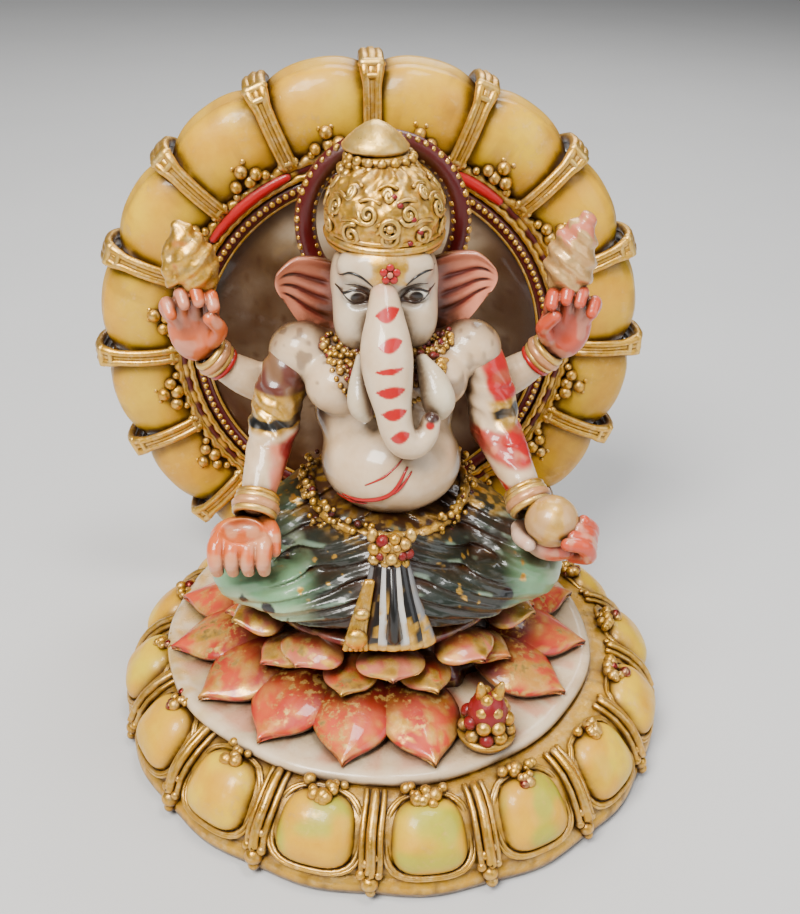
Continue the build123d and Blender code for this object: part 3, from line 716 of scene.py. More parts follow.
def build_rim():
    """Lobes, ribs and bead flowers round the rim."""
    lobes, ribs, flowers = Piece(), Piece(), Piece()
    section = np.array(LOBE_SECTION)
    steps = 24
    for k in range(LOBES):
        start = -180 - 1.3 + PITCH * k
        if abs(start + PITCH / 2) > 150:
            continue
        s = np.linspace(-1, 1, steps)
        turn = start + PITCH / 2 + s * (PITCH / 2 - 0.2)
        puff = 1 - np.abs(s) ** 2.6
        outer = ramp(section[:, 0], 38, 46.5)
        r = section[None, :, 0] + (0.7 - 2.0 * (1 - puff))[:, None] * outer[None, :]
        front = section[None, :, 1] > -2.5
        depth = section[None, :, 1] + np.where(front, (0.9 * puff - 0.7)[:, None] * ramp(r, 34.5, 38), 0)
        points = ring_point(r, np.repeat(turn[:, None], len(section), 1), depth)
        verts = points.reshape(-1, 3)
        n = len(section)
        faces = capped(steps, n)
        verts[:, 2] = np.maximum(verts[:, 2], float(LOBE_LOW[2]))
        rgba = lobes.add(verts, faces, YELLOW)
        lobes.dab(rgba, blot(verts, 6, 51, 0.3, 0.8) * 0.7, LEMON)
        behind = np.tile(ramp(section[:, 1], -2.4, -3.2), steps)
        lobes.dab(rgba, behind * 0.7, (0.60, 0.36, 0.04))
        near_ring = np.tile(ramp(section[:, 0], 37.2, 34.6), steps)
        # brown wash and painted shade: dark brown next to the inner ring
        lobes.dab(rgba, near_ring * 0.7, (0.20, 0.08, 0.01))
        lobes.dab(rgba, near_ring * blot(verts, 1.5, 53, 0.4, 0.7) * 0.85, GOLD, 0.8)
        near_rib = np.repeat(ramp(np.abs(s), 0.78, 1.0), n)
        # brown wash and painted shade: dark brown beside the ribs
        lobes.dab(rgba, near_rib * 0.75, (0.26, 0.11, 0.012))
        lobes.dab(rgba, blot(verts, 2.2, 57, 0.66, 0.85) * 0.5, (0.40, 0.19, 0.02))
        # flower of beads on the lobe's inner edge
        mid = start + PITCH / 2
        for across, out, size in ((-1.9, 36.2, 1.1), (1.9, 36.2, 1.1), (0, 37.9, 1.15), (0, 35.9, 1.2),
                                  (-0.9, 39.0, 0.5),
                                  (1.0, 39.0, 0.5), (-3.1, 35.2, 0.7), (3.1, 35.2, 0.7)):
            jitter = RNG.uniform(-0.25, 0.25, 2)
            turn_at = mid + math.degrees((across + jitter[0]) / out)
            spot = ring_point(np.array([out + jitter[1]]), np.array([turn_at]), 1.1 - 0.3 * (out < 36))[0]
            flowers.gild(bead(spot, size * RNG.uniform(0.85, 1.1), 7, 11))
    for k in range(-6, 7):
        turn = k * PITCH - 1.3
        profile = spline([(34.4, 0.6), (37.0, 1.5), (40.5, 1.9), (44.0, 1.5), (46.6, 0.6), (47.7, -1.2),
                          (47.9, -3.6),
                          (47.6, -6.0), (46.6, -8.2)], 4)
        widen = 1 + 0.35 * ramp(profile[:, 0], 44, 47)
        for aside, lift, thick in ((-0.85, 0.0, 0.62), (0.85, 0.0, 0.62), (0, -0.5, 0.8)):
            angle = turn + np.degrees(aside * widen / profile[:, 0])
            path = ring_point(profile[:, 0] + lift * 0.3, angle, profile[:, 1] + lift)
            ribs.add(*tube(path, thick * widen, 9), GOLD, 0.9)
        for r, depth, half, thick in ((47.2, 0.2, 1.7, 0.85), (45.6, 1.2, 1.3, 0.6), (35.2, 0.9, 1.5, 0.6)):
            across = np.linspace(-half, half, 6)
            path = ring_point(np.full(6, r), turn + np.degrees(across / r), np.full(6, depth))
            ribs.add(*tube(path, thick, 8), PALE_GOLD, 0.9)
    mesh_piece(lobes, "lobe_castings", ENAMEL, "backrest_lobes")
    mesh_piece(ribs, "back_rib_castings", GILT, "backrest_ribs")
    mesh_piece(flowers, "back_flower_castings", GILT, "backrest_flowers")


def build_hoops():
    """Twisted gold rope, a dark band and beads, with red enamel either side of the top."""
    outer, inner, beads = Piece(), Piece(), Piece()
    cut = math.degrees(math.acos((PLATE_TOP + 1 - BACK_Z) / 36))
    turns = np.linspace(-cut, cut, 420)
    for r, thick, depth, twist in ((34.3, 0.75, 0.1, 0.18), (32.2, 0.55, 0.2, 0.1)):
        wobble = twist * np.sin(np.radians(turns) * 90)
        outer.add(*tube(ring_point(r + wobble, turns, depth + 0 * turns), thick + 0.6 * wobble, 9), GOLD,
                  0.95)
    rgba = outer.add(*tube(ring_point(np.full(420, 33.3), turns, -0.5 + 0 * turns), 1.0, 8), DARK_RED)
    outer.dab(rgba, np.repeat(ramp(np.sin(np.radians(turns) * 40), 0, 0.8), 8).tolist() + [0, 0], GOLD, 0.7)
    for a, b in ((-54, -25), (20, 38)):
        arc = np.linspace(a, b, 40)
        swell = 0.5 + 0.55 * np.sin(np.linspace(0.15, math.pi - 0.15, 40)) ** 0.6
        outer.add(*tube(ring_point(np.full(40, 33.3), arc, 0.5 + 0 * arc), swell, 10), RED)
    r = np.full(420, 30.6)
    inner.add(*tube(ring_point(r, turns, -0.9 + 0 * turns), 1.25, 10), DARK_RED)
    inner.add(*tube(ring_point(r - 1.3, turns, -0.6 + 0 * turns), 0.3, 6), GOLD, 0.9)
    for n in range(-54, 55):
        if abs(n * 2.4) < cut:
            spot = ring_point(np.array([30.6]), np.array([n * 2.4]), 0.15)[0]
            beads.gild(bead(spot, 0.55, 6, 9))
    mesh_piece(outer, "outer_hoop_casting", GILT, "outer_hoop")
    mesh_piece(inner, "inner_hoop_casting", BODY, "inner_hoop")
    mesh_piece(beads, "hoop_bead_castings", GILT, "hoop_beads")


def build_dish():
    """The stained, dished disc behind the figure, with painted shade on its lower part behind the figure.
    """
    dish = Piece()
    rows, cols = 44, 160
    rho = np.linspace(0.5, 34.4, rows)
    a = np.arange(cols) * 360 / cols
    bowl = np.interp(rho, [0, 10, 20, 27, 31, 34.4], [-4.6, -4.3, -3.2, -1.9, -1.4, -1.2])
    front = ring_point(np.repeat(rho[:, None], cols, 1), np.repeat(a[None], rows, 0),
                       np.repeat(bowl[:, None], cols, 1))
    back = ring_point(np.repeat(rho[::-1, None], cols, 1), np.repeat(a[None], rows, 0),
                      np.full((rows, cols), -8.3))
    verts = np.concatenate([front, back]).reshape(-1, 3)
    verts[:, 2] = np.maximum(verts[:, 2], DOME_TOP + 0.1)
    faces = capped(2 * rows, cols)
    rgba = dish.add(verts, faces, CREAM)
    dish.dab(rgba, blot(verts, 5, 61, 0.45, 0.8) * 0.8, BONE)
    dish.dab(rgba, blot(verts, 3.1, 69, 0.5, 0.9) * 0.5, (0.78, 0.66, 0.48))
    # painted shade: umber on the lower part of the dish, behind the figure
    dish.dab(rgba, ramp(verts[:, 2], 73, 64) * (0.8 + 0.2 * noise(verts, 5, 63)), UMBER)
    dish.dab(rgba, blot(verts, 2.4, 67, 0.5, 0.8) * 0.35, UMBER)
    reach = np.hypot(verts[:, 0], verts[:, 2] - BACK_Z)
    dish.dab(rgba, ramp(reach, 22, 29) * 0.9, UMBER)
    dish.dab(rgba, blot(verts, 1.2, 65, 0.72, 0.85) * 0.6, UMBER)
    dish.dab(rgba, ramp(verts[:, 1], 38, 41) * 0.8, (0.50, 0.33, 0.06))
    mesh_piece(dish, "dish_casting", BODY, "backrest_dish")


# ---------------------------------------------------------------- figure
def clay_piece(piece, clay, colour):
    """Adds the clay's surface to a piece and returns its vertices and paint."""
    verts, faces = clay.skin()
    rgba = piece.add(verts, faces, colour)
    return verts, rgba


def stroke(piece, surface, points, width, colour):
    """A brush stroke laid on a clay surface, following (x, z) points seen from the front."""
    path = spline([(x, z) for x, z in points], 6)
    line = []
    for x, z in path:
        line.append((x, surface.front(x, z) - 0.01, z))
    line = np.array(line)
    line[1:-1, 1] = (line[:-2, 1] + 2 * line[1:-1, 1] + line[2:, 1]) / 4
    t = np.linspace(0, 1, len(line))
    piece.add(*tube(line, width * (0.35 + 0.65 * np.sin(np.pi * np.clip(t * 0.9 + 0.05, 0, 1))), 8), colour)


def build_legs():
    """Crossed legs in a folded cloth."""
    clay = Clay((-30, -24, 25.5), (31, 16, 47), 0.3)
    clay.ball((0, 4, 36), (15.5, 10.5, 9.8), 1.5)
    clay.ball((0, -7.5, 36.2), (13.5, 10.3, 7.4), 1.5)
    for side in (-1, 1):
        knee = side * 21.6 + 0.5
        clay.limb([(side * 9, 1, 37, 7.4), (side * 15.5, -4, 35.4, 6.6), (knee, -8, 34.0, 4.9),
                   (knee, -10, 33.2, 4.5)], 1.5)
        clay.limb([(knee, -10, 33.2, 4.3), (side * 14, -14.0, 32.4, 4.4), (side * 6, -16.2, 32.2, 4.2),
                   (0, -16.6, 32.0, 4.0)], 1.5)

    def folds(p):
        x, y, z = p[:, 0], p[:, 1], p[:, 2]
        side = np.sign(x)
        run = z * 1.1 + side * x * 0.34 + 0.12 * y
        inward = ramp(np.abs(x), 24, 14)
        broad = 0.30 * np.sin(run * 2.5 + 1.3 * noise(p, 5, 3))
        fine = 0.14 * np.sin(run * 5.3 + side * x * 0.5)
        return (broad + fine) * (0.2 + 0.8 * inward)
    clay.shift(folds)
    clay.d = np.maximum(clay.d, (SEAT_TOP - 0.6 - clay.axes[2])[None, None, :])
    legs = Piece()
    verts, rgba = clay_piece(legs, clay, JADE)
    x, y, z = verts.T
    legs.dab(rgba, blot(verts, 4, 1, 0.35, 0.75) * 0.7, PALE_JADE)
    left = x > 0
    dark = np.where(left, ramp(x, 21.5, 16.5), ramp(x, -15.0, -9.5))
    dark = np.clip(dark + ramp(z, 37.5, 40.5) * np.where(left, 0.9, 0.6), 0, 1)
    run = z * 1.1 + np.abs(x) * 0.34 + 0.12 * y
    # painted sheen: grey-green streaks along the fold crests of the black cloth
    fold_crest_sheen = ramp(np.sin(run * 2.5 + 1.3 * noise(verts, 5, 3)), 0.55, 0.95)
    legs.dab(rgba, dark * 0.97, BLACK)
    legs.dab(rgba, dark * fold_crest_sheen * blot(verts, 2.2, 5, 0.55, 0.75) * 0.75, (0.20, 0.30, 0.22))
    legs.dab(rgba, blot(verts, 1.6, 7, 0.78, 0.84) * (1 - dark) * (x < -6), BLACK)
    for sx, sy, sz, r in ((-17.6, -17.5, 31.4, 0.95), (-13.0, -16, 33.6, 0.7), (-19.5, -12, 35.0, 0.8),
                          (17.5, -17, 33.2, 1.1)):
        legs.dab(rgba, ramp(np.linalg.norm((verts - [sx, sy, sz]) * [1, 0.35, 1], axis=1), r + 0.25, r),
                 BLACK)
    legs.dab(rgba, ramp(z, 40.5, 43.0) * blot(verts, 1.0, 9, 0.5, 0.62), GOLD, 0.9)
    legs.dab(rgba, blot(verts, 1.0, 12, 0.80, 0.90) * blot(verts, 4, 13, 0.5, 0.6) * (z > 33), GOLD, 0.9)
    mesh_piece(legs, "leg_casting", BODY, "crossed_legs")


def build_pleats():
    """Seven pleats that hang in front, fanning out downwards."""
    pleats = Piece()
    for k in range(7):
        t = (k - 3) / 3
        stations = [(0.2 + 2.0 * t, -17.2 - 1.2 * (1 - t * t), 39.8),
                    (0.3 + 3.0 * t, -19.3 - 1.2 * (1 - t * t), 35.5),
                    (0.6 + 4.4 * t, -21.3 - 0.9 * (1 - t * t), 30.8),
                    (0.7 + 5.0 * t, -21.7 - 0.8 * (1 - t * t), 28.2)]
        path = spline(stations, 10)
        drop = np.linspace(0, 1, len(path))
        base = (GREY, BLACK, (0.62, 0.62, 0.60), BLACK, (0.66, 0.65, 0.6), BLACK, GREY)[k]
        rgba = pleats.add(*tube(path, 0.55 + 0.45 * drop + 0.12 * (k % 2), 10, flat=1.5), base)
        fall = np.append(np.repeat(drop, 10), [0, 1])
        pleats.dab(rgba, ramp(fall, 0.82, 0.9) * 0.95, GOLD, 0.9)
        fold = pleats.verts[-1]
        pleats.dab(rgba, ramp(noise(fold, 1.0, 15 + k), 0.6, 0.72) * ramp(fall, 0.2, 0.5), GOLD, 0.85)
    pleats.add(*tube([(0.3, -17.0, 39), (0.5, -18.8, 34), (0.7, -20.4, 29.4)], [2.4, 3.4, 4.6], 16,
                     flat=0.35), BLACK)
    mesh_piece(pleats, "pleat_castings", BODY, "front_pleats")


def build_tassel():
    """Gold tassel of the sash, beside the pleats."""
    tassel = Piece()
    for k in range(5):
        t = (k - 2) / 2
        fall = [(-2.9 + 0.3 * t, -20.2, 38.6), (-3.9 + 0.7 * t, -21.4, 34.5),
                (-4.7 + 1.0 * t, -22.8 + 0.3 * t * t, 31.0), (-4.9 + 1.5 * t, -23.1, 28.4)]
        tassel.gild(tube(spline(fall, 6), 0.48, 8))
    tassel.add(*bead((-4.0, -22.0, 34.0), (1.2, 0.9, 0.9), 8, 12), PALE_GOLD, 0.95)
    tassel.add(*bead((-4.8, -23.2, 30.4), (1.7, 1.0, 1.7), 8, 12), GOLD, 0.9)
    mesh_piece(tassel, "tassel_casting", GILT, "sash_tassel")


def build_torso():
    """Chest and belly; returns the clay, for what is laid on it."""
    clay = Clay((-19, -16, 37), (19, 14, 70), 0.28)
    clay.ball((0.9, -3.4, 49.0), (10.4, 9.8, 7.6), 1.6)
    clay.ball((0, 2, 55), (10.5, 8, 8), 2.0)
    clay.ball((0.0, 3.2, 60.2), (12.0, 7.4, 7.8), 1.5)
    clay.ball((-6.8, -2.2, 60.4), (4.9, 4.4, 4.2), 0.9)
    clay.ball((7.0, -2.0, 61.0), (4.8, 4.2, 4.0), 0.9)
    clay.ball((-12.2, 3.0, 63.4), (4.8, 4.6, 4.4), 2.0)
    clay.ball((12.4, 3.0, 63.8), (4.8, 4.6, 4.4), 2.0)
    torso = Piece()
    verts, rgba = clay_piece(torso, clay, IVORY)
    x, y, z = verts.T
    torso.dab(rgba, blot(verts, 3, 1, 0.5, 0.8) * 0.35, CREAM)
    # painted shade: umber towards the back of the torso and on its sides below the chest, behind the arms
    torso.dab(rgba, ramp(y, -2, 4) * 0.9, UMBER)
    torso.dab(rgba, ramp(np.abs(x - 0.8), 8.2, 10.4) * ramp(z, 59, 56) * 0.95, UMBER)
    torso.dab(rgba, blot(verts, 1.2, 4, 0.58, 0.76) * ramp(z, 57, 60) * blot(verts, 4, 6, 0.4, 0.6) * 0.55,
              UMBER)
    for points, wide in (([(-6.5, 46.6), (-3.5, 46.9), (0.2, 48.6), (2.6, 52.4)], 0.36),
                         ([(-3.4, 49.6), (-0.4, 51.4), (2.0, 53.4)], 0.16),
                         ([(-1.0, 48.0), (1.2, 49.2), (3.2, 51.8)],
                          0.26), ([(-7.2, 45.6), (-5.0, 45.9), (-3.0, 46.3)], 0.3)):
        stroke(torso, clay, points, wide, RED)
    mesh_piece(torso, "torso_casting", BODY, "torso")
    return clay


def build_necklace(clay):
    """A bib of small beads on the chest and a string below it."""
    necklace = Piece()
    for k in range(340):
        side = RNG.choice([-1, 1])
        x = side * RNG.uniform(2.6, 9.4)
        z = 67.4 - RNG.uniform(0.0, 1.0) * (2.0 + 0.62 * (9.6 - abs(x)))
        y = clay.front(x, z)
        if y is None:
            continue
        red = RNG.random() < 0.27
        necklace.add(*bead((x, y - 0.15 - RNG.uniform(0, 0.5), z), RNG.uniform(0.32, 0.72), 6, 9),
                     CRIMSON if red else GOLD,
                     0.0 if red else 0.95)
    for t in np.linspace(-1, 1, 31):
        x, z = 8.4 * t, 56.6 + 8.0 * abs(t) ** 1.5
        necklace.gild(bead((x, clay.front(x, z) - 0.1, z), 0.42, 6, 9))
    mesh_piece(necklace, "necklace_casting", GILT, "necklace")


def build_belt():
    """Beaded belt under the belly."""
    belt = Piece()
    a = np.linspace(0, TAU, 120, endpoint=False)
    path = np.stack([0.6 + 11.9 * np.sin(a), -1.2 - 12.4 * np.cos(a), 43.6 - 1.9 * ramp(np.cos(a), 0, 1)],
                    -1)
    belt.add(*tube(path, 0.8 + 0.15 * np.sin(a * 33), 10, closed=True), GOLD, 0.8)
    for k in range(190):
        t = RNG.choice([-1, 1]) * RNG.uniform(0.15, 2.3) ** 0.85
        rad = 12.2 + RNG.uniform(-0.6, 1.3)
        spot = (0.6 + rad * math.sin(t), -1.2 - rad * math.cos(t),
                44.0 + RNG.uniform(-3.4, 2.4) - 2.2 * max(0, math.cos(t)))
        gilt = RNG.random() < 0.85
        belt.add(*bead(spot, RNG.uniform(0.25, 0.65), 6, 8), GOLD if gilt else DARK_RED,
                 0.95 if gilt else 0)
    mesh_piece(belt, "belt_casting", GILT, "belt")


def build_buckle():
    """Round jewelled buckle."""
    buckle = Piece()
    for ring, count, size in ((2.5, 9, 0.95), (1.5, 6, 0.8)):
        for k in range(count):
            t = TAU * k / count
            spot = (0.2 + ring * math.cos(t), -17.6 - 0.5 * (2.5 - ring), 41.4 + ring * math.sin(t))
            gem = bead(spot, size * RNG.uniform(0.9, 1.1), 7, 10)
            buckle.add(*gem, GOLD if k % 3 else CRIMSON, 0.95 if k % 3 else 0.1)
    buckle.add(*bead((0.2, -17.0, 41.4), (2.7, 1.8, 2.7), 10, 16), GOLD, 0.9)
    buckle.add(*bead((0.2, -19.0, 41.4), 0.9, 8, 12), PALE_GOLD, 0.95)
    for dx in (-2.6, 2.8):
        buckle.add(*bead((0.2 + dx, -16.9, 44.0), (0.9, 0.8, 1.2), 7, 10), PALE_GOLD, 0.95)
    mesh_piece(buckle, "buckle_casting", GILT, "belt_buckle")


HEAD_STEP = 0.17


def head_clay():
    """Skull, cheeks, brow and eyes, as clay."""
    clay = Clay((-10.5, -9, 63), (10.5, 13, 83), HEAD_STEP)
    clay.ball((-0.3, 3.8, 74.2), (7.7, 7.2, 8.6), 0.6)
    clay.ball((-4.1, 0.6, 69.6), (3.5, 4.1, 5.0), 1.6)
    clay.ball((3.7, 0.6, 70.0), (3.5, 4.1, 5.0), 1.6)
    clay.ball((-0.4, -0.4, 77.6), (6.6, 3.4, 3.2), 1.4)
    for cx, cz in ((-4.4, 73.9), (3.7, 74.1)):
        clay.ball((cx, -2.9, cz), (2.5, 1.3, 1.5), 0.7, take=True)
        clay.ball((cx, -1.35, cz), (2.1, 1.35, 1.25), 0.2)
    return clay


def build_head():
    """Head with its painted eyes and brow flower."""
    clay = head_clay()
    head = Piece()
    verts, rgba = clay_piece(head, clay, FACE)
    x, y, z = verts.T
    # painted shade: umber towards the back of the head
    head.dab(rgba, ramp(y, 2.5, 6) * 0.8, UMBER)
    for cx, cz in ((-4.4, 73.8), (3.7, 74.0)):
        ring = np.hypot((x - cx) / 3.0, (z - cz - 0.4) / 2.3)
        head.dab(rgba, ramp(ring, 1.15, 0.75) * (y < 0.5) * 0.45, (0.40, 0.42, 0.42))
        lens = np.abs(z - cz + 0.12 * (x - cx) * np.sign(cx)) / 1.0 + ((x - cx) / 2.1) ** 2
        head.dab(rgba, ramp(lens, 1.1, 0.9) * (y < 0.5), (0.86, 0.80, 0.68))
        pupil = np.hypot((x - cx - 0.1) / 1.0, (z - cz + 0.05) / 0.75)
        head.dab(rgba, ramp(pupil, 1.12, 0.92) * (y < 0.5), BLACK)
        corner = np.hypot((x - cx * 0.55) / 0.9, (z - cz + 0.5) / 0.5)
        head.dab(rgba, ramp(corner, 1.1, 0.6) * (y < 0.5) * 0.8, UMBER)
    patch = np.maximum(np.abs(x + 0.2) / 2.6, np.abs(z - 78.0) / 2.0) + 0.35 * (noise(verts, 0.8, 4) - 0.5)
    head.dab(rgba, ramp(patch, 1.1, 0.8) * (y < 3), GOLD, 0.8)
    head.dab(rgba, ramp(z, 79.3, 79.7) * (y < 3), GOLD, 0.9)
    # outlines of the lids and the brows
    for cx, cz, out in ((-4.4, 73.9, -1), (3.7, 74.1, 1)):
        lids = [[(out * -2.0, -0.5), (out * -0.9, 0.65), (out * 0.6, 0.8), (out * 1.9, 0.35),
                 (out * 2.9, 0.6)],
                [(out * -2.1, -0.7), (out * -1.0, -0.95), (out * 0.6, -0.85), (out * 1.9, 0.2)],
                [(out * -1.6, 1.1), (out * 0.0, 1.65), (out * 1.8, 1.25)]]
        for lid, wide in zip(lids, (0.20, 0.18, 0.08)):
            stroke(head, clay, [(cx + a, cz + b) for a, b in lid], wide, BLACK)
    stroke(head, clay, [(-6.9, 76.3), (-5.4, 77.3), (-3.8, 76.9), (-2.3, 75.7)], 0.19, BLACK)
    stroke(head, clay, [(2.3, 75.8), (3.5, 76.9), (5.0, 77.5), (6.5, 77.2)], 0.19, BLACK)
    for k in range(5):
        a = TAU * k / 5 + 0.3
        x, z = 0.0 + 0.9 * math.cos(a), 77.5 + 0.9 * math.sin(a)
        head.add(*bead((x, clay.front(x, z) - 0.05, z), (0.58, 0.25, 0.58), 6, 10), RED)
    head.add(*bead((0.0, clay.front(0.0, 77.5) - 0.2, 77.5), (0.45, 0.25, 0.45), 6, 10), PINK)
    mesh_piece(head, "head_casting", BODY, "head")


def build_trunk():
    """The trunk, with red marks down its front."""
    trunk_clay = Clay((-8, -19, 52), (10, 1, 79), 0.2)
    line = [(-0.7, -1.4, 75.6, 1.7), (-0.7, -3.2, 74.2, 2.0), (-0.6, -5.4, 71.6, 2.7),
            (-0.5, -7.8, 68.0, 3.6), (-0.2, -9.8, 64.8, 3.3), (0.3, -11.6, 61.6, 2.6),
            (0.9, -12.8, 58.8, 2.35), (2.0, -13.2, 57.0, 2.2), (3.7, -13.0, 56.6, 1.85),
            (5.1, -12.4, 57.9, 1.6), (5.6, -12.0, 59.6, 1.35)]
    trunk_clay.limb(line, 0.4, smooth=12)
    trunk = Piece()
    verts, rgba = clay_piece(trunk, trunk_clay, (0.82, 0.63, 0.42))
    x, y, z = verts.T
    axis_y = np.interp(z, [57, 60, 65, 68, 72, 77], [-12.8, -12.2, -9.8, -7.8, -5.2, -1.6])
    front = ramp(axis_y - y, 0.2, 0.9)
    for cx, cz, wide, tall in ((-0.4, 73.3, 1.7, 0.85), (-0.1, 70.2, 1.7, 0.9), (-0.3, 67.2, 2.0, 0.45),
                               (-0.1, 64.6, 2.1, 0.8),
                               (0.4, 61.8, 1.8, 0.85), (1.2, 58.8, 1.4, 0.95)):
        bent = cz + 0.25 * (x - cx) / wide
        lens = np.abs(z - bent) / (tall * np.clip(1 - ((x - cx) / wide) ** 2, 0.02, 1))
        trunk.dab(rgba, ramp(lens, 1.1, 0.8) * (np.abs(x - cx) < wide) * front, RED)
    trunk.dab(rgba, ramp(np.linalg.norm(verts - [5.4, -13.2, 59.6], axis=1), 0.75, 0.5), RED)
    trunk.dab(rgba, ramp(z, 74.4, 76.2) * 0.4, SALMON)
    tips = ramp(np.linalg.norm(verts - np.array(line[-1][:3]) - [0.1, -0.4, 1.0], axis=1), 1.3, 0.9)
    trunk.dab(rgba, tips, (0.05, 0.02, 0.015))
    mesh_piece(trunk, "trunk_casting", BODY, "trunk")


def build_tusks():
    """Two short tusks."""
    right_line = [(-3.8, -4.6, 65.6, 0.8), (-4.2, -7.2, 62.8, 1.4), (-4.0, -8.6, 60.6, 1.8),
                  (-3.4, -9.0, 59.3, 1.3)]
    left_line = [(4.8, -4.8, 65.4, 1.0), (6.2, -6.8, 63.2, 2.0), (6.9, -8.2, 61.2, 2.4),
                 (6.9, -8.6, 60.2, 2.0)]
    for node, low, high, line, soft, colour in (
            ("right_tusk", (-8, -14, 56), (0, -2, 70), right_line, 0.3, TUSK),
            ("left_tusk", (1, -14, 56), (12, -1, 70), left_line, 0.5, (0.74, 0.62, 0.42))):
        tusk, shape = Piece(), Clay(low, high, 0.18)
        shape.limb(line, soft)
        clay_piece(tusk, shape, colour)
        mesh_piece(tusk, node + "_casting", BODY, node)


def build_ear(side, node):
    """A fan-shaped ear with a rolled rim and three dark grooves."""
    low, high = node_box(node)
    root_x = side * 6.4
    tip_x = high[0] if side > 0 else low[0]
    reach = abs(tip_x - root_x) + 0.2
    top = high[2] - 3.0
    rows, cols = 44, 64
    t = np.linspace(0, 1, rows)[:, None]
    s = np.linspace(0, 1, cols)[None, :]
    # t runs outward, s runs from the lower edge to the upper one
    outer_fall = 5.2 * np.clip(t - 0.66, 0, 1) ** 1.7 / 0.34**0.7
    upper = top - 0.4 - 1.2 * (1 - t) + 0.9 * np.sin(np.pi * t) - outer_fall
    lower = top - 14.2 + 8.6 * t**1.6 - 0.4 * np.sin(np.pi * t)
    z = lower + (upper - lower) * s + 0 * t
    x = root_x + side * reach * t * (1 - 0.16 * (1 - s) ** 2 * t) * (1 - 0.05 * s**3) + 0 * s
    y = 5.4 - 2.8 * t**1.3 + 1.0 * np.sin(np.pi * s) * np.sin(np.pi * t) + 0 * s
    rim = np.maximum(ramp(t, 0.86, 1.0) + 0 * s, ramp(s, 0.88, 1.0) + 0 * t)
    y = y - 0.5 * rim
    for groove in (0.36, 0.56, 0.76):
        cut = np.exp(-((s - groove + 0.04 * np.sin(4 * t)) / 0.035) ** 2)
        y = y + 0.30 * cut * ramp(t, 0.12, 0.3) * ramp(t, 0.95, 0.75)
    front = np.stack([x, y, z], -1)
    back = front + np.array([0, 1.5, 0])
    grid = np.concatenate([front, back[:, ::-1]], 1)
    n = 2 * cols
    faces = capped(rows, n)
    if side < 0:
        faces = [f[::-1] for f in faces]
    ear = Piece()
    rgba = ear.add(grid.reshape(-1, 3), faces, EAR_PINK)
    tt = np.repeat(t, n, 1).reshape(-1)
    ss = np.concatenate([np.repeat(s, rows, 0), np.repeat(s[:, ::-1], rows, 0)], 1).reshape(-1)
    face_front = np.tile(np.arange(n) < cols, rows)
    # painted shadow: darker red towards the root of the ear
    ear.dab(rgba, ramp(tt, 0.65, 0.15) * 0.6, (0.50, 0.10, 0.055))
    for groove in (0.36, 0.56, 0.76):
        line = np.abs(ss - groove + 0.04 * np.sin(4 * tt))
        ear.dab(rgba, ramp(line, 0.040, 0.022) * ramp(tt, 0.1, 0.3) * ramp(tt, 0.97, 0.85) * face_front,
                (0.06, 0.012, 0.012))
        ear.dab(rgba, ramp(line, 0.10, 0.05) * ramp(tt, 0.1, 0.3) * ramp(tt, 0.8, 0.6) * face_front * 0.5,
                CRIMSON)
    # painted shade: umber over the back of the ear
    ear.dab(rgba, ~face_front * 0.7, UMBER)
    mesh_piece(ear, node + "_casting", BODY, node)


def build_crown_dome():
    """Dome of the crown, with scrolls, beads and a few red stones."""
    centre = np.array([-0.3, 5.6, 81.9])
    clay = Clay((-11, -6, 76), (11, 17, 93), 0.2)
    clay.ball(centre + [0, 0, 1.2], (8.2, 8.3, 7.2), 0.5)
    clay.ball(centre + [0, 0, -1.5], (8.0, 8.1, 4.0), 0.8)
    clay.shift(lambda p: 0.22 * np.sin(np.arctan2(p[:, 0], -(p[:, 1] - 5)) * 14) * np.sin(p[:, 2] * 2.2)
               + 0.25 * (noise(p, 0.9, 5) - 0.5))
    clay.d = np.maximum(clay.d, (79.2 - clay.axes[2])[None, None, :])
    dome = Piece()
    rgba = clay_piece(dome, clay, GOLD)[1]
    rgba[:, 3] = 0.9

    def on_crown(angle, z, lift):
        up = (z - centre[2] - 1.2) / 7.2
        spread = np.sqrt(np.clip(1 - up**2, 0.05, 1))
        return np.stack([centre[0] + (8.2 * spread + lift) * np.sin(angle),
                         centre[1] - (8.3 * spread + lift) * np.cos(angle), z + 0 * angle], -1)

    for row, (z, count, size) in enumerate(((82.0, 10, 1.6), (85.0, 9, 1.35), (87.2, 8, 0.8))):
        for k in range(count):
            around = TAU * (k + 0.5 * (row % 2)) / count
            hand = 1 if (k + row) % 2 else -1
            uv = spiral((0, 0), size, 1.6, RNG.uniform(0, TAU), 18)
            path = on_crown(around + hand * uv[:, 0] / 8.0, z + uv[:, 1] * 1.05, 0.12)
            dome.add(*tube(path, 0.34, 7), PALE_GOLD, 0.95)
            path = on_crown(around + np.linspace(-1, 1, 7) * 0.2,
                            z + size * 1.15 + 0.25 * np.cos(np.linspace(-2, 2, 7)), 0.1)
            dome.gild(tube(path, 0.28, 7))
    ring = np.linspace(0, TAU, 16, endpoint=False)
    dome.add(*tube(on_crown(0.02 + 0.14 * np.cos(ring), 83.4 + 1.15 * np.sin(ring), 0.35), 0.36, 8,
                   closed=True), PALE_GOLD, 0.95)
    dome.gild(bead(on_crown(np.array([0.02]), 83.4, 0.3)[0], 0.6))
    for angle, z in ((0.42, 84.4), (0.55, 82.6), (0.38, 81.2), (0.1, 87.2), (0.2, 86.2)):
        dome.add(*bead(on_crown(np.array([angle]), z, 0.15)[0], (0.5, 0.45, 0.4), 6, 9), CRIMSON)
    mesh_piece(dome, "crown_dome_casting", GILT, "crown_dome")


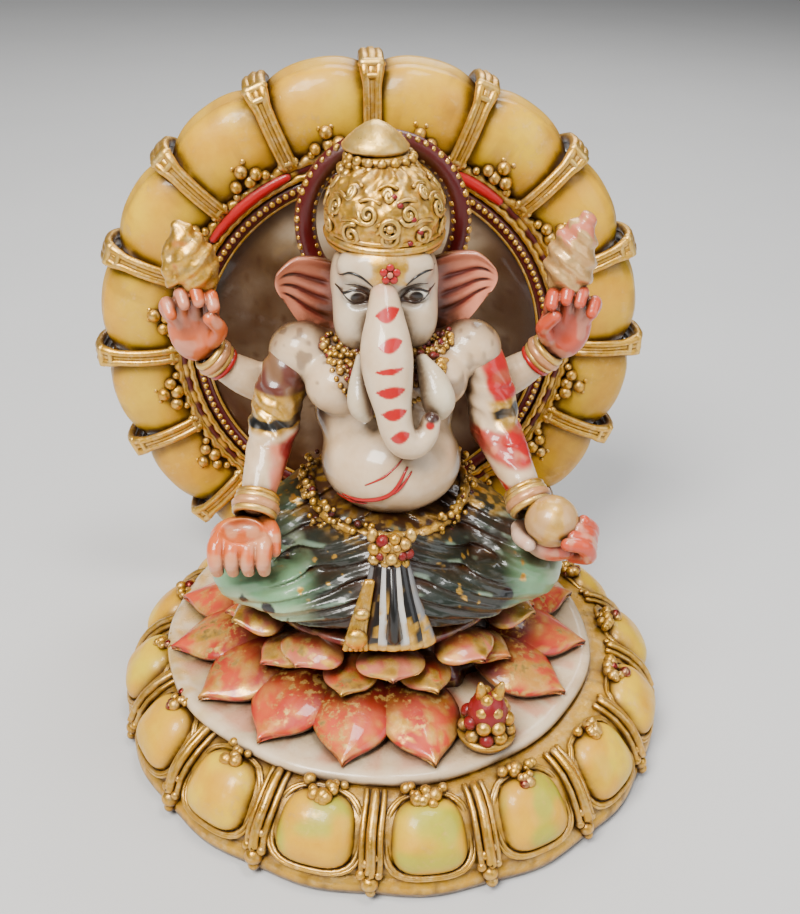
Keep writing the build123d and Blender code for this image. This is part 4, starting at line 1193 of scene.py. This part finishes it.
def build_crown_band():
    """Three rings at the brow."""
    band = Piece()
    a = np.linspace(0, TAU, 96, endpoint=False)
    for z, lift, thick in ((79.6, 0.0, 0.45), (80.5, 0.2, 0.62), (81.4, 0.1, 0.4)):
        sag = 0.35 * np.cos(a)
        path = np.stack([-0.3 + (7.8 + lift) * np.sin(a), 5.6 - (7.9 + lift) * np.cos(a), z - sag], -1)
        band.add(*tube(path, thick + 0.05 * np.sin(a * 48), 9, closed=True),
                 PALE_GOLD if lift > 0.3 else GOLD, 0.95)
    mesh_piece(band, "crown_band_casting", GILT, "crown_band")


def build_crown_tiers():
    """Three beaded steps above the dome."""
    tiers = Piece()
    for z, radius, size, count in ((88.3, 5.3, 0.8, 18), (89.3, 4.7, 0.65, 17), (90.2, 4.5, 0.75, 16)):
        tiers.add(*lathe([(radius - 1.5, z - 0.9), (radius, z - 0.6), (radius, z + 0.3),
                          (radius - 1.5, z + 0.6)], 48, (-1.0, 7.4)), GOLD, 0.9)
        for k in range(count):
            t = TAU * k / count
            tiers.add(*bead((-1.0 + radius * math.sin(t), 7.4 - radius * math.cos(t), z),
                            size * RNG.uniform(0.9, 1.1), 6, 9), GOLD, 0.95)
    mesh_piece(tiers, "crown_tier_castings", GILT, "crown_tiers")


def build_crown_cap():
    """Pointed cap."""
    cap = Piece()
    cap.add(*lathe([(3.6, 90.6), (4.6, 91.0), (4.7, 91.5), (4.0, 92.3), (2.9, 93.3), (1.6, 94.2),
                    (0.5, 94.7)], 48, (-1.6, 8.4)), PALE_GOLD, 0.75)
    mesh_piece(cap, "crown_cap_casting", GILT, "crown_cap")


def build_crown_arch():
    """Dark arch behind the crown, beaded on both edges."""
    arch = Piece()
    t = np.linspace(-2.35, 2.35, 90)
    path = np.stack([11.4 * np.sin(t), np.full(90, 13.4), 79.0 + 11.8 * np.cos(t)], -1)
    arch.add(*tube(path, 1.6, 10), DARK_RED)
    for radius, size, count in ((12.5, 0.5, 46), (10.4, 0.45, 40)):
        for k in range(count):
            u = -2.35 + 4.7 * k / (count - 1)
            arch.add(*bead((radius * math.sin(u), 12.6, 79.0 + (radius + 0.4) * math.cos(u)),
                           size * RNG.uniform(0.8, 1.2), 6, 9), GOLD, 0.95)
    mesh_piece(arch, "crown_arch_casting", GILT, "crown_arch")


def shade_and_stain_arm(piece, verts, rgba):
    """Painted shade down the back of an arm, and faint staining all over."""
    piece.dab(rgba, ramp(verts[:, 1], 2.0, 6.0) * 0.8, UMBER)
    piece.dab(rgba, blot(verts, 2.5, 8, 0.5, 0.8) * 0.3, BONE)


def build_front_arm(side, node, shoulder, elbow, wrist):
    """A front arm; side is -1 for the figure's right and 1 for its left."""
    clay = Clay((min(side * 8, side * 26), -17, 40), (max(side * 8, side * 26), 9, 69), 0.22)
    upper = [(*shoulder, 3.5), ((shoulder[0] + elbow[0]) / 2 + side * 0.6, 0.8,
                                (shoulder[2] + elbow[2]) / 2, 3.7), (*elbow, 3.5)]
    clay.limb(upper, 0.8)
    lower = [(*elbow, 3.5), ((elbow[0] + wrist[0]) / 2, (elbow[1] + wrist[1]) / 2 - 0.4,
                             (elbow[2] + wrist[2]) / 2, 3.0), (*wrist, 2.3)]
    clay.limb(lower, 0.8)
    clay.shift(lambda p: 0.13 * np.sin(p[:, 2] * 2.1 + p[:, 0] * 1.3 + 5 * noise(p, 3, 2))
               * ramp(p[:, 2], 49, 53)
               + 0.5 * (noise(p, 1.4, 4) - 0.5) * (p[:, 2] > 53) * (p[:, 2] < 60))
    arm = Piece()
    verts, rgba = clay_piece(arm, clay, IVORY)
    x, z = verts[:, 0], verts[:, 2]
    out = (x - (shoulder[0] + (elbow[0] - shoulder[0]) * ramp(z, shoulder[2], elbow[2]))) * side
    blotch = noise(verts, 1.6, 14)
    if side < 0:
        arm.dab(rgba, ramp(z, 57.4, 59) * 0.95, DARK_RED)
        arm.dab(rgba, ramp(z, 57, 60) * ramp(blotch, 0.5, 0.7) * ramp(out, -0.5, -2.5), PINK)
        arm.dab(rgba, ramp(z, 59.2, 58.4) * ramp(z, 53.6, 54.4), GOLD, 0.85)
        arm.dab(rgba, ramp(np.abs(z - 54.6 - 0.8 * blotch), 0.9, 0.5), BLACK)
        arm.dab(rgba, ramp(z, 53.6, 52.8) * ramp(z, 45.5, 47.5) * ramp(out - 1.2 * blotch, 0.5, -0.7), PINK)
        arm.dab(rgba, ramp(z, 53.6, 52.8) * ramp(z, 44, 46) * ramp(out - blotch, -1.2, -2.2), CRIMSON)
        arm.dab(rgba, ramp(z, 48.0, 45.5) * 0.7, (0.72, 0.36, 0.16))
    else:
        arm.dab(rgba, ramp(z, 65.5, 63.5) * ramp(z, 50.2, 51.4) * ramp(out + 1.2 * blotch, 0.6, 1.6), RED)
        arm.dab(rgba, ramp(z, 58.4, 57.6) * ramp(z, 54.2, 55.0) * ramp(out, -0.8, 0.6), GOLD, 0.85)
        arm.dab(rgba, ramp(np.abs(z - 56.0 - 0.9 * blotch), 0.9, 0.5) * ramp(out, -1, 0.4), BLACK)
        arm.dab(rgba, ramp(z, 54.6, 53.8) * ramp(z, 50.0, 51.4) * 0.9, RED)
        arm.dab(rgba, ramp(z, 54, 52) * ramp(z, 51, 52) * ramp(blotch, 0.5, 0.7), PINK)
        arm.dab(rgba, ramp(z, 50.6, 49) * ramp(out, 0.2, -1.2) * 0.8, (0.60, 0.20, 0.14))
        arm.dab(rgba, ramp(np.abs(z - 47.6), 0.9, 0.6) * ramp(blotch, 0.3, 0.5), RED)
    # painted shade down the back of the arm, and faint staining
    shade_and_stain_arm(arm, verts, rgba)
    mesh_piece(arm, node + "_casting", BODY, node)


def build_rear_arm(side, node, elbow, wrist):
    """A rear arm, raised beside the head."""
    clay = Clay((min(side * 6, side * 30), 2, 48), (max(side * 6, side * 30), 16, 67), 0.24)
    clay.limb([(side * 11, 9, 61, 3.4), (side * 15, 10.2, 56.8, 3.2), (*elbow, 3.0)], 0.8)
    clay.limb([(*elbow, 3.0), ((elbow[0] + wrist[0]) / 2, 10.0, (elbow[2] + wrist[2]) / 2 - 0.3, 2.9),
               (*wrist, 2.2)], 0.8)
    arm = Piece()
    verts, rgba = clay_piece(arm, clay, IVORY)
    x, y, z = verts.T
    # dark red cloth next to the body on the figure's right; on its left, painted shade next to the body
    arm.dab(rgba, ramp(np.abs(x), 17.5, 14.5) * 0.92, DARK_RED if side < 0 else UMBER)
    arm.dab(rgba, blot(verts, 1.4, 3, 0.5, 0.72) * ramp(np.abs(x), 22, 16) * 0.7, UMBER)
    # painted shade: umber on the lowest part of the arm and down its back
    arm.dab(rgba, ramp(z, 53, 50.5) * 0.7, UMBER)
    arm.dab(rgba, ramp(y, 10, 12.5) * 0.8, UMBER)
    mesh_piece(arm, node + "_casting", BODY, node)


def build_bracelet(node, centre, along, radius, red_edge):
    """Four bangles side by side round a wrist."""
    axis = Vector(along).normalized()
    frame_u = axis.orthogonal().normalized()
    frame_v = axis.cross(frame_u)
    piece = Piece()
    a = np.linspace(0, TAU, 48, endpoint=False)
    for shift, thick, colour, gold in ((-0.9, 0.6, PALE_GOLD, 0.7), (0.0, 0.85, (0.74, 0.34, 0.14), 0.35),
                                       (0.95, 0.6, PALE_GOLD, 0.7),
                                       (-1.7, 0.5, RED if red_edge else GOLD, 0.0 if red_edge else 0.9)):
        core = np.array(centre) + shift * np.array(axis)
        path = core + radius * (np.cos(a)[:, None] * np.array(frame_u) + np.sin(a)[:, None]
                                * np.array(frame_v))
        piece.add(*tube(path, thick, 9, closed=True), colour, gold)
    mesh_piece(piece, node + "_casting", BODY, node)


def finger(clay, joints, radius):
    """A finger that thins a little at each joint."""
    stations = [(*p, radius * (1 - 0.12 * i)) for i, p in enumerate(joints)]
    clay.limb(stations, 0.12, smooth=4)


def build_open_hand():
    """Right front hand: open palm, fingers together pointing forward and out."""
    clay = Clay((-28, -22, 36.5), (-14, -8, 49), 0.17)
    clay.ball((-20.9, -14.4, 42.4), (4.6, 3.8, 2.8), 0.8)
    for k in range(4):
        x = -24.4 + 2.2 * k
        finger(clay, [(x * 0.7 - 6.3, -14.4, 43.0), (x, -17.0, 42.6), (x - 0.1, -18.4, 40.8),
                      (x, -17.8, 39.0)], 1.5)
    finger(clay, [(-17.6, -12.4, 43.6), (-16.6, -14.8, 43.2), (-16.4, -16.4, 41.4)], 1.35)
    clay.ball((-20.8, -16.0, 44.6), (3.2, 2.4, 1.4), 0.5, take=True)
    hand = Piece()
    verts, rgba = clay_piece(hand, clay, ORANGE)
    hand.dab(rgba, blot(verts, 1.5, 3, 0.45, 0.7) * 0.6, (0.82, 0.42, 0.22))
    hand.dab(rgba, ramp(verts[:, 2], 42.2, 40.2) * 0.8, (0.70, 0.34, 0.20))
    hand.dab(rgba, ramp(verts[:, 2], 44.4, 45.6) * 0.5, PALE_GOLD, 0.4)
    mesh_piece(hand, "front_right_hand_casting", BODY, "front_right_hand")


def build_sweet():
    """The round sweet in the left front hand."""
    sweet = Piece()
    clay = Clay((16, -22, 38), (30, -9, 51), 0.2)
    clay.ball((23.4, -15.4, 45.2), (3.9, 3.8, 3.8), 0.2)
    verts, rgba = clay_piece(sweet, clay, (0.62, 0.36, 0.14))
    rgba[:, 3] = 0.1
    sweet.dab(rgba, blot(verts, 1.8, 3, 0.45, 0.7) * 0.7, GOLD, 0.6)
    mesh_piece(sweet, "held_sweet_casting", BODY, "held_sweet")


def build_holding_hand():
    """Left front hand, curled round the sweet."""
    clay = Clay((16, -23, 35), (34, -7, 49), 0.17)
    clay.ball((24.4, -13.6, 41.2), (4.6, 4.2, 3.2), 0.8)
    for k in range(4):
        a = 0.1 + 0.42 * k
        finger(clay, [(27.0 + 0.8 * math.sin(a * 2), -12.0 - 1.2 * k, 39.2 + 0.15 * k),
                      (29.6 - 0.35 * k, -13.6 - 1.6 * k, 41.2),
                      (29.4 - 0.7 * k, -15.2 - 1.5 * k, 43.6),
                      (27.8 - 0.95 * k, -16.2 - 1.2 * k, 45.6 - 0.5 * k)], 1.5)
    finger(clay, [(19.6, -12.4, 42.0), (19.2, -15.2, 42.4), (20.0, -17.4, 42.6)], 1.4)
    hand = Piece()
    verts, rgba = clay_piece(hand, clay, CORAL)
    hand.dab(rgba, ramp(verts[:, 0], 24.0, 20.5) * 0.85, (0.78, 0.60, 0.44))
    hand.dab(rgba, blot(verts, 1.3, 5, 0.5, 0.75) * 0.6, (0.84, 0.46, 0.30))
    mesh_piece(hand, "front_left_hand_casting", BODY, "front_left_hand")


def build_raised_hands():
    """Rear hands: palm forward, fingers folded in front of what they hold up."""
    for side, node in ((-1, "rear_right_hand"), (1, "rear_left_hand")):
        low, high = node_box(node)
        mid = (low + high) / 2
        clay = Clay((mid[0] - 8, mid[1] - 9, mid[2] - 9), (mid[0] + 8, mid[1] + 7, mid[2] + 11), 0.19)
        clay.ball(mid + [side * 0.3, 0.4, -1.8], (4.0, 2.5, 5.2), 0.8)
        clay.ball(mid + [side * 0.2, -2.6, -1.4], (2.0, 1.2, 2.8), 0.8, take=True)
        for k in range(4):
            across = mid[0] + side * (3.6 - 2.05 * k)
            tip = mid[2] + (3.0, 4.6, 5.0, 4.2)[k]
            finger(clay, [(across * 0.6 + mid[0] * 0.4, mid[1], mid[2] - 1.0),
                          (across + side * 0.2, mid[1] - 0.8, mid[2] + 1.6),
                          (across, mid[1] - 2.2, tip),
                          (across - side * 0.5, mid[1] - 3.6, tip - 1.0)], 1.45)
        finger(clay, [(mid[0] - side * 2.2, mid[1] - 0.4, mid[2] - 3.4),
                      (mid[0] - side * 3.6, mid[1] - 2.4, mid[2] - 0.8),
                      (mid[0] - side * 2.4, mid[1] - 3.6, mid[2] + 1.4)], 1.35)
        hand = Piece()
        verts, rgba = clay_piece(hand, clay, ORANGE if side < 0 else CORAL)
        hand.dab(rgba, blot(verts, 1.5, 7, 0.45, 0.7) * 0.6, (0.80, 0.38, 0.25))
        # painted shade: umber towards the back of the hand
        hand.dab(rgba, ramp(verts[:, 1], mid[1] + 0.5, mid[1] + 2.2) * 0.6, UMBER)
        mesh_piece(hand, node + "_casting", BODY, node)


def build_attribute(node, limbs, twist, lean, colour, gold):
    """A ribbed bulb held up by a rear hand; limbs are (stations, rounding) from the bulb's foot and top."""
    low, high = node_box(node)
    cx, cy = (low[0] + high[0]) / 2, (low[1] + high[1]) / 2
    clay = Clay((cx - 8, cy - 6, low[2] - 3), (cx + 8, cy + 6, high[2] + 2), 0.2)
    for stations, soft in limbs(cx, cy, low[2], high[2]):
        clay.limb(stations, soft)
    clay.shift(lambda p: twist * np.sin((p[:, 2] + lean[0] * (p[:, 0] - cx)) * lean[1]) + 0.3
               * (noise(p, 1.1, 3) - 0.5))
    piece = Piece()
    verts, rgba = clay_piece(piece, clay, colour)
    rgba[:, 3] = gold
    return piece, verts, rgba, high[2]


def build_attributes():
    """The gold bulb in the right hand and the paler one in the left."""
    def axe_limbs(x, y, foot, top):
        body = [(x + 0.8, y, foot + 0.5, 2.4), (x + 0.4, y, foot + 3.2, 3.5), (x - 0.4, y, foot + 6.0, 2.7),
                (x - 1.2, y, top - 1.4, 1.4)]
        side = [(x - 2.6, y - 1.2, foot + 1.6, 1.3), (x - 3.0, y - 1.4, foot + 4.0, 1.1),
                (x - 2.6, y - 0.6, foot + 6.8, 0.8)]
        return (body, 0.5), (side, 0.4)

    def bud_limbs(x, y, foot, top):
        return (([(x, y, foot + 0.6, 2.8), (x - 0.2, y, foot + 3.4, 3.7), (x + 0.3, y, foot + 7.0, 2.9),
                  (x + 1.2, y, top - 1.6, 1.5)], 0.5),)

    axe, verts, rgba, _ = build_attribute("axe_head", axe_limbs, 0.16, (-0.8, 2.3), GOLD, 0.9)
    axe.dab(rgba, blot(verts, 1.5, 9, 0.6, 0.8) * 0.5, ORANGE)
    mesh_piece(axe, "axe_head_casting", GILT, "axe_head")
    bud, verts, rgba, top = build_attribute("lotus_bud", bud_limbs, 0.22, (0.7, 2.2), (0.78, 0.46, 0.16),
                                            0.6)
    bud.dab(rgba, ramp(verts[:, 2], top - 5, top - 3) * blot(verts, 1.2, 2, 0.4, 0.6), SALMON)
    mesh_piece(bud, "lotus_bud_casting", BODY, "lotus_bud")


def build_figure():
    """The seated figure, from the legs up."""
    build_legs()
    build_pleats()
    build_tassel()
    chest = build_torso()
    build_necklace(chest)
    build_belt()
    build_buckle()
    build_head()
    build_trunk()
    build_tusks()
    build_ear(-1, "right_ear")
    build_ear(1, "left_ear")
    for build in (build_crown_dome, build_crown_band, build_crown_tiers, build_crown_cap, build_crown_arch):
        build()
    build_front_arm(-1, "front_right_arm", (-13.0, 3.0, 63.4), (-16.4, -1.0, 53.4), (-18.9, -10.6, 46.2))
    build_front_arm(1, "front_left_arm", (13.2, 3.0, 63.8), (16.4, -1.0, 53.4), (20.4, -10.6, 46.8))
    build_rear_arm(-1, "rear_right_arm", (-17.4, 10.5, 54.0), (-24.8, 9.2, 58.6))
    build_rear_arm(1, "rear_left_arm", (17.4, 10.5, 54.0), (24.4, 9.2, 59.2))
    build_bracelet("front_right_bracelet", (-19.0, -11.4, 45.6), (-2.4, -10, -7.6), 2.7, False)
    build_bracelet("front_left_bracelet", (20.6, -11.4, 46.2), (4.2, -10, -7.0), 2.7, False)
    build_bracelet("rear_right_bracelet", (-25.4, 9.0, 59.6), (-6.0, -1.5, 6.5), 2.4, True)
    build_bracelet("rear_left_bracelet", (25.0, 9.0, 60.2), (5.6, -1.5, 6.8), 2.4, True)
    build_open_hand()
    build_sweet()
    build_holding_hand()
    build_raised_hands()
    build_attributes()


# ---------------------------------------------------------------- stage
def build_stage():
    """A plain pale floor and soft studio light."""
    mesh = bpy.data.meshes.new("floor")
    half = 1.2
    mesh.from_pydata([(-half, -half, 0), (half, -half, 0), (half, half, 0), (-half, half, 0)], [],
                     [(0, 1, 2, 3)])
    floor = bpy.data.objects.new("floor", mesh)
    bpy.context.scene.collection.objects.link(floor)
    mat = bpy.data.materials.new("floor_paper")
    mat.use_nodes = True
    nodes, links = mat.node_tree.nodes, mat.node_tree.links
    grain = nodes.new("ShaderNodeTexNoise")
    grain.inputs["Scale"].default_value = 40
    tone = nodes.new("ShaderNodeMapRange")
    tone.inputs["To Min"].default_value = 0.60
    tone.inputs["To Max"].default_value = 0.64
    links.new(grain.outputs["Fac"], tone.inputs["Value"])
    links.new(tone.outputs["Result"], nodes["Principled BSDF"].inputs["Base Color"])
    nodes["Principled BSDF"].inputs["Roughness"].default_value = 0.8
    mesh.materials.append(mat)

    def area(name, place, size, power, colour):
        light = bpy.data.lights.new(name, "AREA")
        light.size = size
        light.energy = power
        light.color = colour
        made = bpy.data.objects.new(name, light)
        bpy.context.scene.collection.objects.link(made)
        made.location = place
        aim = Vector((0, 0, 0.045)) - Vector(place)
        made.rotation_euler = aim.to_track_quat("-Z", "Y").to_euler()

    area("key", (-0.22, -0.30, 0.55), 0.26, 7.2, (1.0, 0.97, 0.92))
    area("fill", (0.50, -0.30, 0.35), 0.5, 1.6, (0.93, 0.96, 1.0))
    area("rim", (0.10, 0.45, 0.50), 0.35, 2.2, (1.0, 1.0, 1.0))
    area("window", (0.08, -0.05, 0.60), 0.14, 1.3, (1.0, 1.0, 1.0))

    world = bpy.data.worlds.new("studio")
    bpy.context.scene.world = world
    world.use_nodes = True
    world.node_tree.nodes["Background"].inputs["Color"].default_value = (0.80, 0.82, 0.85, 1)
    world.node_tree.nodes["Background"].inputs["Strength"].default_value = 0.20


def build_camera():
    """The camera, at the height and angle a person would look down from."""
    lens = bpy.data.cameras.new("camera")
    lens.sensor_width = 36
    lens.lens = 42.91
    lens.shift_y = 0.0837
    lens.clip_start = 0.01
    camera = bpy.data.objects.new("camera", lens)
    bpy.context.scene.collection.objects.link(camera)
    right = Vector((0.9972, -0.0675, 0.0303)).normalized()
    back = -Vector((0.0729, 0.8287, -0.5550)).normalized()
    up = back.cross(right).normalized()
    right = up.cross(back)
    turn = Matrix((right, up, back)).transposed().to_4x4()
    camera.matrix_world = Matrix.Translation((-0.00978, -0.14466, 0.12995)) @ turn
    bpy.context.scene.camera = camera


for build_part in (build_felt, build_plinth, build_base_ring, build_plate, build_core, build_seat,
                   build_petals, build_offering, build_rim, build_hoops, build_dish):
    build_part()
build_figure()
build_stage()
build_camera()
